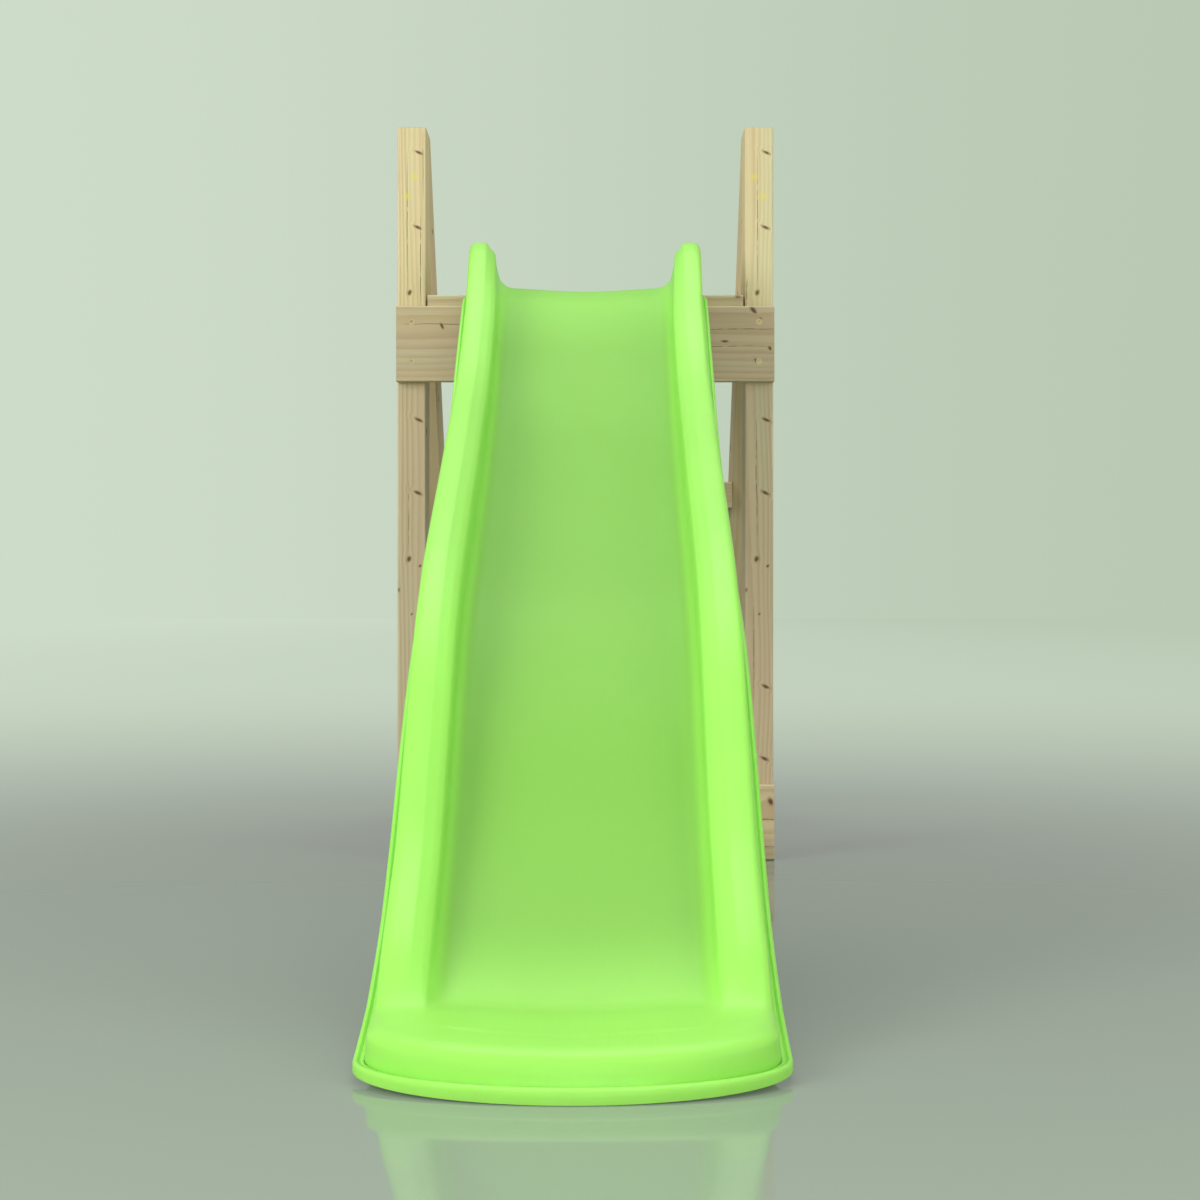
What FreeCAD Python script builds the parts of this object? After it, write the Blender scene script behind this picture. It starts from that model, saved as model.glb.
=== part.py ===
import FreeCAD, Part
import math
import os

V = FreeCAD.Vector

# ---------------------------------------------------------------- driving sizes (mm)
# whole object: X across, Y from the slide's nose (-) to the ladder (+), Z up
slide_reach = 1500.0          # posts' front face to the tip of the nose
frame_depth = 775.0           # posts' front face to the ladder's heel
frame_width = 595.0           # over the posts
post_height = 1157.0
deck_height = 892.0           # standing surface

# timber
post_face, post_depth = 45.0, 70.0
leg_width = 95.0
leg_top = 12.0                # how far the leg's back stands behind the post at the top
board_height, board_thick = 119.0, 18.0
deck_thick = 20.0
deck_side_gap = 2.7           # deck board end to post
deck_board_gap = 4.0
bearer_thick, bearer_height = 22.0, 70.0
tread_thick, tread_depth = 45.0, 95.0
tread_rise = 278.0            # deck to tread, and tread to tread
timber_edge = 3.0             # rounding of the long corners

# slide
slide_width = 377.0           # over the side flanges
flange_width = 13.5
flange_thick = 5.0
flange_start = 0.045          # share of the reach where the side flanges begin
nose_rim = 13.0               # height of the rim around the nose
nose_round = 92.0             # how far the nose's plan curve runs ahead of its sides
rail_bevel_out, rail_bevel_in = 147.0, 131.0   # half widths of the bevel inside each rail
rail_flare, flare_run = 5.0, 200.0             # rails stand wider at the deck, and over what run
bevel_drop = 9.0
bed_corner = 124.0            # half width at the foot of the inner wall
bed_fillet = 7.0
bed_dish = 5.0                # hollow of the bed across its width
skin = 3.5
rail_skin = 6.0               # side walls of the hollow rails
rail_round = 8.0              # outer corner of each rail
rail_end_round = 22.0         # top end of each rail
rail_end_fall = 6.6           # how far its round is let down into the crest
lip_length = 45.0             # slide lip lying on the deck
lip_half = 128.0
lip_thick = 8.0
lip_run = 8.0                 # the bed runs level over the posts' front face by this much
lip_rise = 1.0
hollow_end = 0.945            # share of the reach where the hollow between the skins ends
wave_step = 34.0              # longest gap between drawn stations

# the wave, station by station: share of the reach, share of the deck height,
# then bed, rail crest and lower skin measured up from the flange line
wave = (
    (0.0120, 0.9989, 8.0, 80.0, -20.0),
    (0.0347, 0.9899, 6.0, 81.0, -28.0),
    (0.0600, 0.9708, 4.0, 79.0, -31.0),
    (0.1667, 0.8273, 15.0, 86.0, -21.0),
    (0.2547, 0.7074, 24.0, 98.0, -14.0),
    (0.3467, 0.6110, 33.0, 110.0, -8.0),
    (0.4667, 0.5011, 38.0, 115.0, -6.0),
    (0.5667, 0.4215, 36.0, 110.0, -6.0),
    (0.6200, 0.3655, 36.0, 114.0, -6.0),
    (0.6813, 0.2814, 36.0, 116.0, -7.0),
    (0.7467, 0.1805, 30.0, 98.0, -8.0),
    (0.8000, 0.1099, 28.0, 78.0, -8.0),
    (0.8687, 0.0516, 17.0, 54.0, -10.0),
    (0.8933, 0.0381, 14.0, 32.0, -12.0),
)
# beyond the rails: share of the reach, underside, top
deck_line = ((0.9080, 16.0, 47.0), (0.9333, 4.0, 45.5), (0.9500, 0.0, 44.0), (0.9600, 0.0, 43.0),
             (0.9800, 0.0, 39.0), (1.0100, 0.0, 30.0))
rim_line = ((0.8800, 43.0, 38.0), (0.9050, 29.5, 24.5), (0.9333, 18.5, 11.0), (0.9500, 14.5, 0.0),
            (0.9700, 13.0, 0.0), (1.0100, 13.0, 0.0))   # flange: share, top, underside
run_out_floor = ((0.9240, 47.0), (0.9600, 46.5), (1.0100, 46.0))
roll_height, roll_side, roll_length = 34.0, 9.0, 36.0   # rounding over the nose's rim
roll_start = 8.0              # the rounding begins this far beyond the last rail station
roll_turn, roll_turns = 15.0, 7   # degrees between its levels, and how many

# fixings
screw_shank, screw_head = 5.0, 10.0
head_rim = 0.6                # straight edge of the head
screw_point, point_radius = 6.0, 0.4
screw_lengths = {"front": 60.0, "deck": 60.0, "bearer": 60.0, "tread": 90.0, "leg": 90.0, "lip": 35.0}
socket_size, socket_slot, socket_deep = 4.0, 1.2, 2.4
sink = 0.6                    # head below the timber
deck_screw_in = 24.0          # from the deck board's edges
bearer_spots = ((52.0, 22.0), (14.0, 56.0))     # behind the posts' front, below the deck boards
bearer_leg_spot = (45.0, 50.0)                  # behind the leg's front, below the deck boards
tread_screw_in = (34.0, 74.0)                   # behind the leg's front
leg_screw_down = (117.0, 57.0)                  # below the post's top
leg_bore_deep = (24.0, 8.0)                     # their counterbores, from the leg's back
lip_screw_out, lip_screw_in, lip_screw_sink = 80.0, 17.0, 3.4
board_screw_in = 24.0         # board screws in from the board's end
board_screw_top, board_screw_low = 25.0, 32.0   # from the board's upper and lower edges
bore_head = 13.0              # counterbore in the leaning leg
bearer_short = 12.0           # bearer's end before the leg's back
deck_short = 1.0              # deck's edge before the leg's back

# cutting
over = 14.0                   # how far a cutter stands proud of what it cuts
bore_run = 60.0
corner_share = 0.29           # of a corner's radius, at the middle of its arc

# ---------------------------------------------------------------- derived
post_front = (slide_reach - frame_depth) / 2.0
post_back = post_front + post_depth
half_frame = frame_width / 2.0
post_inner = half_frame - post_face
lean = (frame_depth - post_depth - leg_top) / post_height      # leg's run per unit of height
leg_across = leg_width * math.hypot(1.0, lean)
heel_back = post_front + frame_depth
heel_front = heel_back - leg_across
deck_under = deck_height - deck_thick
half_slide = slide_width / 2.0
rail_outer = half_slide - flange_width
nose_tip = post_front - slide_reach
side_end = nose_tip + nose_round
body_start = post_front - board_thick

os.makedirs("parts", exist_ok=True)


def save(node, *solids):
    """Write one node, one or more solids."""
    shape = solids[0] if len(solids) == 1 else Part.makeCompound(list(solids))
    shape.exportStep("parts/%s.step" % node)


def box(x0, x1, y0, y1, z0, z1):
    return Part.makeBox(x1 - x0, y1 - y0, z1 - z0, V(x0, y0, z0))


def eased(solid, axis):
    """Round the corners that run along one axis."""
    edges = [e for e in solid.Edges
             if abs(abs((e.Vertexes[1].Point - e.Vertexes[0].Point).normalize().dot(axis)) - 1) < 1e-6]
    return solid.makeFillet(timber_edge, edges)


def side_prism(points, x0, x1):
    """Solid from a closed outline in the YZ plane, drawn out along X."""
    ring = [V(x0, y, z) for y, z in points]
    return Part.Face(Part.makePolygon(ring + ring[:1])).extrude(V(x1 - x0, 0, 0))


def turned_screw(length, above):
    """A screw's outline turned about its axis, its head drawn out upwards by `above`."""
    cone = (screw_head - screw_shank) / 2.0
    r_head, r_shank = screw_head / 2.0, screw_shank / 2.0
    half = [V(0, 0, -above), V(r_head, 0, -above), V(r_head, 0, head_rim), V(r_shank, 0, head_rim + cone),
            V(r_shank, 0, length - screw_point), V(point_radius, 0, length), V(0, 0, length)]
    return Part.Face(Part.makePolygon(half + half[:1])).revolve(V(0, 0, 0), V(0, 0, 1), 360)


def screw(length, at, heading):
    """Countersunk screw: its head's face at `at`, its point along `heading`."""
    body = turned_screw(length, 0.0)
    socket = Part.makeBox(socket_size, socket_slot, socket_deep, V(-socket_size / 2, -socket_slot / 2, 0))
    cross = Part.makeBox(socket_slot, socket_size, socket_deep, V(-socket_slot / 2, -socket_size / 2, 0))
    body = body.cut(socket.fuse(cross))
    body.Placement = FreeCAD.Placement(at, FreeCAD.Rotation(V(0, 0, 1), heading))
    return body


def screw_room(length, at, heading):
    """The hole a screw sits in: its own shape, open above the sunk head."""
    room = turned_screw(length, sink + over)
    room.Placement = FreeCAD.Placement(at, FreeCAD.Rotation(V(0, 0, 1), heading))
    return room


# ---------------------------------------------------------------- fixings, where and which way
FORWARD, BACK, DOWN = V(0, 1, 0), V(0, -1, 0), V(0, 0, -1)
sides = (-1, 1)


def leg_front(z):
    return heel_front - lean * z


def leg_back(z):
    return heel_back - lean * z


fascia_low = deck_under - board_height
bearer_low = deck_under - bearer_height
tread_tops = (deck_height - tread_rise, deck_height - 2 * tread_rise)
deck_depth = leg_back(deck_height) - post_front - deck_short
deck_board = (deck_depth - deck_board_gap) / 2.0
deck_rows = tuple(post_front + i * (deck_board + deck_board_gap) for i in range(2))
bearer_mid = post_inner - bearer_thick / 2.0

fix = {
    "front_board_screws": [
        ("front", V(s * (half_frame - board_screw_in), post_front - board_thick + sink, z), FORWARD)
        for s in sides
        for z in (fascia_low + board_screw_low, deck_under - board_screw_top)],
    "front_foot_screws": [
        ("front", V(s * (half_frame - board_screw_in), post_front - board_thick + sink, z), FORWARD)
        for s in sides for z in (board_screw_low, board_height - board_screw_top)],
    "deck_screws": [
        ("deck", V(s * bearer_mid, y + dy, deck_height - sink), DOWN)
        for s in sides for y in deck_rows for dy in (deck_screw_in, deck_board - deck_screw_in)],
    "bearer_screws": [
        ("bearer", V(s * (post_inner - bearer_thick + sink), y, deck_under - down), V(s, 0, 0))
        for s in sides
        for y, down in [(post_front + behind, down) for behind, down in bearer_spots]
        + [(leg_front(deck_under - bearer_leg_spot[1]) + bearer_leg_spot[0], bearer_leg_spot[1])]],
    "tread_screws": [
        ("tread", V(s * (half_frame - sink), leg_front(top) + dy, top - tread_thick / 2.0), V(-s, 0, 0))
        for s in sides for top in tread_tops for dy in tread_screw_in],
    "leg_screws": [
        ("leg", V(s * (half_frame - post_face / 2.0), leg_back(post_height - down) - deep,
                  post_height - down), BACK)
        for s in sides for down, deep in zip(leg_screw_down, leg_bore_deep)],
    "slide_screws": [
        ("lip", V(s * lip_screw_out, post_front + lip_length - lip_screw_in,
                  deck_height + lip_thick - lip_screw_sink), DOWN)
        for s in sides],
}
screws = {node: [screw(screw_lengths[k], at, way) for k, at, way in rows] for node, rows in fix.items()}
rooms = {node: Part.makeCompound([screw_room(screw_lengths[k], at, way) for k, at, way in rows])
         for node, rows in fix.items()}


def bored(solid, *nodes):
    """Cut the screw holes of the named groups into a timber."""
    for node in nodes:
        solid = solid.cut(rooms[node])
    return solid.removeSplitter()


# ---------------------------------------------------------------- timber frame
for name, s in (("left", -1), ("right", 1)):
    x0, x1 = sorted((s * post_inner, s * half_frame))
    post = eased(box(x0, x1, post_front, post_back, 0, post_height), V(0, 0, 1))
    post = bored(post, "front_board_screws", "front_foot_screws", "bearer_screws", "leg_screws")
    save("front_post_" + name, post)

    outline = ((heel_front, 0), (heel_back, 0), (leg_back(post_height), post_height),
               (post_back, post_height), (post_back, (heel_front - post_back) / lean))
    leg = side_prism(outline, x0, x1)
    slope = V(0, -lean, 1).normalize()
    leg = eased(leg, slope)
    for kind, at, way in fix["leg_screws"]:
        leg = leg.cut(Part.makeCylinder(bore_head / 2.0, bore_run, at + V(0, bore_run, 0), BACK))
    save("rear_leg_" + name, bored(leg, "bearer_screws", "tread_screws", "leg_screws"))

    b0, b1 = sorted((s * post_inner, s * (post_inner - bearer_thick)))
    bearer = side_prism(((post_front, deck_under), (post_front, bearer_low),
                         (leg_back(bearer_low) - bearer_short, bearer_low),
                         (leg_back(deck_under) - bearer_short, deck_under)), b0, b1)
    save("deck_bearer_" + name, bored(bearer, "bearer_screws", "deck_screws"))

front_board = eased(box(-half_frame, half_frame, post_front - board_thick, post_front,
                        fascia_low, deck_under), V(1, 0, 0))
save("front_board", bored(front_board, "front_board_screws"))
foot_board = eased(box(-half_frame, half_frame, post_front - board_thick, post_front,
                       0, board_height), V(1, 0, 0))
save("front_foot_board", bored(foot_board, "front_foot_screws"))

deck_half = post_inner - deck_side_gap
for name, y in zip(("front", "rear"), deck_rows):
    board = eased(box(-deck_half, deck_half, y, y + deck_board, deck_under, deck_height), V(1, 0, 0))
    save("deck_board_" + name, bored(board, "deck_screws", "slide_screws"))

for name, top in zip(("upper", "lower"), tread_tops):
    y = leg_front(top)
    tread = eased(box(-post_inner, post_inner, y, y + tread_depth, top - tread_thick, top), V(1, 0, 0))
    save("tread_" + name, bored(tread, "tread_screws"))

for node, rows in screws.items():
    save(node, *rows)


# ---------------------------------------------------------------- wave slide
def ahead(share):
    """Y of a point that lies this share of the reach in front of the posts."""
    return post_front - share * slide_reach


def drawn_wave():
    """The wave's rows with smooth in-between stations."""
    def slope(i, c):
        if i == 0:
            return (wave[1][c] - wave[0][c]) / (wave[1][0] - wave[0][0])
        if i == len(wave) - 1:
            return (wave[i][c] - wave[i - 1][c]) / (wave[i][0] - wave[i - 1][0])
        return (wave[i + 1][c] - wave[i - 1][c]) / (wave[i + 1][0] - wave[i - 1][0])

    rows = []
    for i, (a, b) in enumerate(zip(wave, wave[1:])):
        span = b[0] - a[0]
        count = max(1, math.ceil(span * slide_reach / wave_step))
        for k in range(count):
            t = k / count
            row = [a[0] + t * span]
            for c in range(1, 5):
                m0, m1 = slope(i, c) * span, slope(i + 1, c) * span
                row.append((2 * t**3 - 3 * t**2 + 1) * a[c] + (t**3 - 2 * t**2 + t) * m0
                           + (3 * t**2 - 2 * t**3) * b[c] + (t**3 - t**2) * m1)
            rows.append(row)
    return rows + [list(wave[-1])]


stations = drawn_wave()


def line_at(column):
    """One of the wave's lines: 1 flange, 2 bed, 3 crest, 4 lower skin, as (y, z) pairs."""
    return [(ahead(row[0]), row[1] * deck_height + (row[column] if column > 1 else 0.0))
            for row in stations]


def steepness(pairs, i):
    """How much longer the line is than its run at station i."""
    a, b = pairs[max(i - 1, 0)], pairs[min(i + 1, len(pairs) - 1)]
    return math.hypot(b[0] - a[0], b[1] - a[1]) / abs(b[0] - a[0])


def flare(y):
    """How much wider than their lower run the rails stand at y."""
    return rail_flare * min(max(1.0 - (body_start - y) / flare_run, 0.0), 1.0)


def mirrored(points):
    return [V(-p.x, p.y, p.z) for p in points]


def envelope(inset, skin_low, start, front):
    """Body between the lower skin and the rail crests, as a loft of cross sections."""
    crest, lower = line_at(3), line_at(4)
    rows = [(y, max(lower[i][1], 0.0) + skin_low * steepness(lower, i),
             z - inset * steepness(crest, i)) for i, (y, z) in enumerate(crest)]
    rows[0] = (start,) + rows[0][1:]
    rows += [(ahead(u), low + skin_low, z - skin_low) for u, low, z in deck_line if ahead(u) >= front]
    r = rail_round - inset * (1.0 - corner_share)
    wires = []
    for y, low, top in rows:
        half = rail_outer + flare(y) - inset
        right = [V(half - r, y, top), V(half - corner_share * r, y, top - corner_share * r),
                 V(half, y, top - r)]
        left = mirrored(right)
        foot_l, foot_r = V(-half, y, low), V(half, y, low)
        wires.append(Part.Wire([
            Part.Arc(left[2], left[1], left[0]).toShape(), Part.makeLine(left[0], right[0]),
            Part.Arc(*right).toShape(), Part.makeLine(right[2], foot_r),
            Part.makeLine(foot_r, foot_l), Part.makeLine(foot_l, left[2])]))
    return Part.makeLoft(wires, True, True)


def channel(grow):
    """The space above the bed and between the rails, as a loft of cross sections."""
    bed, crest = line_at(2), line_at(3)
    start = (bed[0][1] + lip_rise, crest[0][1] + lip_rise, 1.0)
    rows = [(post_front + lip_length + over,) + start, (post_front + lip_run,) + start]
    rows += [(y, z, crest[i][1], steepness(bed, i)) for i, (y, z) in enumerate(bed)]
    rows += [(ahead(u), z, z + over + bevel_drop, 1.0) for u, z in run_out_floor]
    wires = []
    for y, floor, top, steep in rows:
        floor -= grow * steep
        c, f = bed_corner + grow, bed_fillet
        wall, bevel = rail_bevel_in + flare(y) + grow, rail_bevel_out + flare(y) + grow
        out = bevel + over * (bevel - wall) / bevel_drop
        right = [V(c - f, y, floor), V(c - corner_share * f, y, floor + corner_share * f), V(c, y, floor + f),
                 V(wall, y, top - bevel_drop), V(out, y, top + over)]
        left = mirrored(right)
        wires.append(Part.Wire([
            Part.Arc(left[0], V(0, y, floor - bed_dish), right[0]).toShape(),
            Part.Arc(*right[:3]).toShape(), Part.makeLine(right[2], right[3]),
            Part.makeLine(right[3], right[4]), Part.makeLine(right[4], left[4]),
            Part.makeLine(left[4], left[3]), Part.makeLine(left[3], left[2]),
            Part.Arc(left[2], left[1], left[0]).toShape()]))
    return Part.makeLoft(wires, True, True)


def plan_wire(half, tip, z):
    """Outline from above: square at the deck end, a half ellipse at the nose."""
    y_side = max(side_end, tip + over)
    back = post_front + lip_length + over
    arc = Part.ArcOfEllipse(Part.Ellipse(V(0, y_side, z), half, y_side - tip), math.pi, 2 * math.pi)
    a, b = V(-half, y_side, z), V(half, y_side, z)
    c, d = V(half, back, z), V(-half, back, z)
    return Part.Wire([arc.toShape(), Part.makeLine(b, c), Part.makeLine(c, d), Part.makeLine(d, a)])


body = envelope(0.0, 0.0, body_start, nose_tip - roll_length)
turns = [math.radians(roll_turn * k) for k in range(roll_turns)]
roll_levels = [(0.0, 0.0, 0.0)] + [
    (nose_rim + roll_height * math.sin(a), roll_side * (1 - math.cos(a)), roll_length * (1 - math.cos(a)))
    for a in turns]
roll = Part.makeLoft([plan_wire(rail_outer - w, nose_tip + flange_width + back, z)
                      for z, w, back in roll_levels], True, True)
rail_end = ahead(wave[-1][0]) - roll_start
upper = box(-half_slide, half_slide, rail_end, post_front + lip_length + over, -1.0, post_height)
body = body.common(roll.fuse(upper))

rim = [(y, z, z - flange_thick * steepness(line_at(1), i)) for i, (y, z) in enumerate(line_at(1))]
rim = [row for row in rim if ahead(wave[-2][0]) < row[0] < ahead(flange_start)]
rim += [(ahead(u), z, low) for u, z, low in rim_line]
flange = side_prism([(y, z) for y, z, low in rim] + [(y, low) for y, z, low in reversed(rim)],
                    -half_slide, half_slide)
plan = Part.Face(plan_wire(half_slide, nose_tip, -1.0)).extrude(V(0, 0, post_height))
flange = flange.common(plan)

lip = box(-lip_half, lip_half, body_start - rail_skin, post_front + lip_length, deck_height,
          deck_height + over)
chute = body.fuse([flange, lip]).cut(channel(0.0))

crest_start = line_at(3)[0][1] - rail_end_fall
corner = box(-half_slide, half_slide, body_start - rail_end_round, body_start + over,
             crest_start - rail_end_round, crest_start + rail_end_round)
corner = corner.cut(Part.makeCylinder(rail_end_round, slide_width + 2 * over, V(-half_slide - over,
                    body_start - rail_end_round, crest_start - rail_end_round), V(1, 0, 0)))
chute = chute.cut(corner)

hollow = envelope(rail_skin, skin, body_start - skin, ahead(hollow_end))
hollow = hollow.cut(channel(skin))
chute = chute.cut(hollow).cut(rooms["slide_screws"])
save("slide_chute", chute)
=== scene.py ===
"""Looks of a timber-framed wave slide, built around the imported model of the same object."""

import logging
import math
import random
from dataclasses import dataclass, field
from enum import Enum
from typing import Iterable, Sequence

import bmesh
import bpy
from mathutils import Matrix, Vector


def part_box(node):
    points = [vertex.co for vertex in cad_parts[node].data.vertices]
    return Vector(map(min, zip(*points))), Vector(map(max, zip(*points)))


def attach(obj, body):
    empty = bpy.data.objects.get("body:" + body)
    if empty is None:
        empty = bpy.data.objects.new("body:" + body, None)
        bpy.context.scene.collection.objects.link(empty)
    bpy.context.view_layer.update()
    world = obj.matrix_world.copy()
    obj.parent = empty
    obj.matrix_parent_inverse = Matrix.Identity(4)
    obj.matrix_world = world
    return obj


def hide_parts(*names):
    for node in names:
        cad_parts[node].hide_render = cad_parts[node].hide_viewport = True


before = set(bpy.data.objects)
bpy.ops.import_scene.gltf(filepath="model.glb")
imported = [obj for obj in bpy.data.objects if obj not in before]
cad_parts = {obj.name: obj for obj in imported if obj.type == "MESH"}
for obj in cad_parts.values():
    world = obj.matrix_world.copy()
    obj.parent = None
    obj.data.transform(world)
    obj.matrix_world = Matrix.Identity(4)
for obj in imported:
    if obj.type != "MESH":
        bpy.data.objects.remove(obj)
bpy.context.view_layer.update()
LOG = logging.getLogger("wave_slide")
Colour = tuple[float, float, float]
Socket = bpy.types.NodeSocket
MM = 0.001
NODE_GAP = (180, -160)
NODES_A_ROW = 12


# ------------------------------------------------------------------ node graphs
class Graph:
    """Short calls for building one node tree."""

    def __init__(self, tree: bpy.types.NodeTree) -> None:
        """Start on an emptied tree."""
        self.tree = tree
        tree.nodes.clear()

    def node(self, kind: str, **settings: object) -> bpy.types.Node:
        """Add a node.

        Args:
            kind: Blender's name of the node type.
            settings: properties to set on it.

        Returns:
            The node.
        """
        made = self.tree.nodes.new(kind)
        row, column = divmod(len(self.tree.nodes), NODES_A_ROW)
        made.location = (NODE_GAP[0] * column, NODE_GAP[1] * row)
        for name, value in settings.items():
            setattr(made, name, value)
        return made

    def feed(self, socket: Socket, value: object) -> None:
        """Link a socket, or set a plain value.

        Args:
            socket: the input to feed.
            value: a socket, a number, a vector or a colour; None leaves the input alone.
        """
        if isinstance(value, bpy.types.NodeSocket):
            self.tree.links.new(value, socket)
        elif value is not None:
            if isinstance(value, tuple) and len(value) == 3 and socket.type == "RGBA":
                value = (*value, 1.0)
            socket.default_value = value

    def math(self, operation: str, a: object, b: object = None, clamp: bool = False) -> Socket:
        """One math node.

        Args:
            operation: Blender's name of the sum to do.
            a: first value or socket.
            b: second value or socket, if the sum has one.
            clamp: hold the answer between 0 and 1.

        Returns:
            The answer's socket.
        """
        made = self.node("ShaderNodeMath", operation=operation, use_clamp=clamp)
        self.feed(made.inputs[0], a)
        self.feed(made.inputs[1], b)
        return made.outputs[0]

    def add(self, a: object, b: object) -> Socket:
        """Sum of two values."""
        return self.math("ADD", a, b)

    def sub(self, a: object, b: object, clamp: bool = False) -> Socket:
        """First value less the second."""
        return self.math("SUBTRACT", a, b, clamp)

    def mul(self, a: object, b: object, clamp: bool = False) -> Socket:
        """Product of two values."""
        return self.math("MULTIPLY", a, b, clamp)

    def div(self, a: object, b: object) -> Socket:
        """First value over the second."""
        return self.math("DIVIDE", a, b)

    def size(self, a: object) -> Socket:
        """A value without its sign."""
        return self.math("ABSOLUTE", a)

    def vector(self, operation: str, a: object, b: object = None) -> Socket:
        """One vector math node.

        Args:
            operation: Blender's name of the sum to do.
            a: first vector.
            b: second vector, if the sum has one.

        Returns:
            The vector, or the number if the sum is LENGTH.
        """
        made = self.node("ShaderNodeVectorMath", operation=operation)
        self.feed(made.inputs[0], a)
        self.feed(made.inputs[1], b)
        return made.outputs["Value" if operation == "LENGTH" else "Vector"]

    def step(self, value: Socket, low: object, high: object) -> Socket:
        """Smooth step.

        Args:
            value: what is tested.
            low: where the step is 0.
            high: where it is 1.

        Returns:
            A number socket.
        """
        made = self.node("ShaderNodeMapRange", interpolation_type="SMOOTHSTEP")
        self.feed(made.inputs["Value"], value)
        self.feed(made.inputs["From Min"], low)
        self.feed(made.inputs["From Max"], high)
        return made.outputs["Result"]

    def split(self, vector: Socket) -> tuple[Socket, Socket, Socket]:
        """The three parts of a vector."""
        made = self.node("ShaderNodeSeparateXYZ")
        self.feed(made.inputs[0], vector)
        return made.outputs[0], made.outputs[1], made.outputs[2]

    def join(self, x: object, y: object, z: object) -> Socket:
        """A vector from three parts.

        Args:
            x: first part.
            y: second part.
            z: third part.

        Returns:
            A vector socket.
        """
        made = self.node("ShaderNodeCombineXYZ")
        for socket, value in zip(made.inputs, (x, y, z)):
            self.feed(socket, value)
        return made.outputs[0]

    def noise(self, vector: Socket, scale: float = 1.0, detail: float = 2.0, rough: float = 0.5) -> Socket:
        """Noise between 0 and 1.

        Args:
            vector: where to read it.
            scale: how fine it is.
            detail: how many finer layers lie on it.
            rough: how strong those layers are.

        Returns:
            A number socket.
        """
        made = self.node("ShaderNodeTexNoise")
        self.feed(made.inputs["Vector"], vector)
        made.inputs["Scale"].default_value = scale
        made.inputs["Detail"].default_value = detail
        made.inputs["Roughness"].default_value = rough
        return made.outputs["Fac"]

    def mix(self, factor: object, a: object, b: object, blend: str = "MIX") -> Socket:
        """Mix two colours.

        Args:
            factor: share of the second.
            a: first colour.
            b: second colour.
            blend: Blender's name of the way to mix.

        Returns:
            A colour socket.
        """
        made = self.node("ShaderNodeMix", data_type="RGBA", blend_type=blend)
        self.feed(made.inputs["Factor"], factor)
        self.feed(made.inputs["A"], a)
        self.feed(made.inputs["B"], b)
        return made.outputs["Result"]

    def bump(self, height: Socket, distance: float, strength: float = 1.0) -> Socket:
        """A normal from a height.

        Args:
            height: between 0 and 1.
            distance: depth of a full step, in metres.
            strength: share of the effect.

        Returns:
            A normal socket.
        """
        made = self.node("ShaderNodeBump")
        made.inputs["Strength"].default_value = strength
        made.inputs["Distance"].default_value = distance
        self.feed(made.inputs["Height"], height)
        return made.outputs["Normal"]

    def surface(self, colour: object, rough: object, normal: Socket, fixed: dict[str, object]) -> None:
        """Finish a material with the one shader that shows it.

        Args:
            colour: its colour.
            rough: its roughness.
            normal: its normal.
            fixed: the shader's other sockets, by name, and their even values.
        """
        shader = self.node("ShaderNodeBsdfPrincipled")
        self.feed(shader.inputs["Base Color"], colour)
        self.feed(shader.inputs["Roughness"], rough)
        self.feed(shader.inputs["Normal"], normal)
        for name, value in fixed.items():
            shader.inputs[name].default_value = value
        self.feed(self.node("ShaderNodeOutputMaterial").inputs["Surface"], shader.outputs["BSDF"])

    def group(self, tree: bpy.types.NodeTree, **inputs: object) -> bpy.types.Node:
        """Place a node group and feed it.

        Args:
            tree: the group.
            inputs: its inputs by name, with underscores for spaces.

        Returns:
            The group's node.
        """
        made = self.node("ShaderNodeGroup", node_tree=tree)
        for name, value in inputs.items():
            self.feed(made.inputs[name.replace("_", " ").capitalize()], value)
        return made


class SocketKind(Enum):
    """Kinds of sockets that the groups have."""

    NUMBER = "NodeSocketFloat"
    POINT = "NodeSocketVector"


def new_group(name: str, points: Sequence[str], numbers: Sequence[str],
              outputs: Sequence[str]) -> tuple[Graph, dict, dict]:
    """Start a shader group with named sockets.

    Args:
        name: the group's name.
        points: names of its vector inputs.
        numbers: names of its number inputs.
        outputs: names of its number outputs.

    Returns:
        The graph, its input sockets by name, and its output sockets by name.
    """
    tree = bpy.data.node_groups.new(name, "ShaderNodeTree")
    for labels, way, kind in ((points, "INPUT", SocketKind.POINT), (numbers, "INPUT", SocketKind.NUMBER),
                              (outputs, "OUTPUT", SocketKind.NUMBER)):
        for label in labels:
            tree.interface.new_socket(label, in_out=way, socket_type=kind.value)
    graph = Graph(tree)
    ins = graph.node("NodeGroupInput").outputs
    outs = graph.node("NodeGroupOutput").inputs
    return (graph, {label: ins[label] for label in (*points, *numbers)},
            {label: outs[label] for label in outputs})


def new_material(name: str) -> tuple[bpy.types.Material, Graph]:
    """Start an empty material.

    Args:
        name: its name.

    Returns:
        The material and the graph of its nodes.
    """
    material = bpy.data.materials.new(name)
    material.use_nodes = True
    return material, Graph(material.node_tree)


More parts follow.
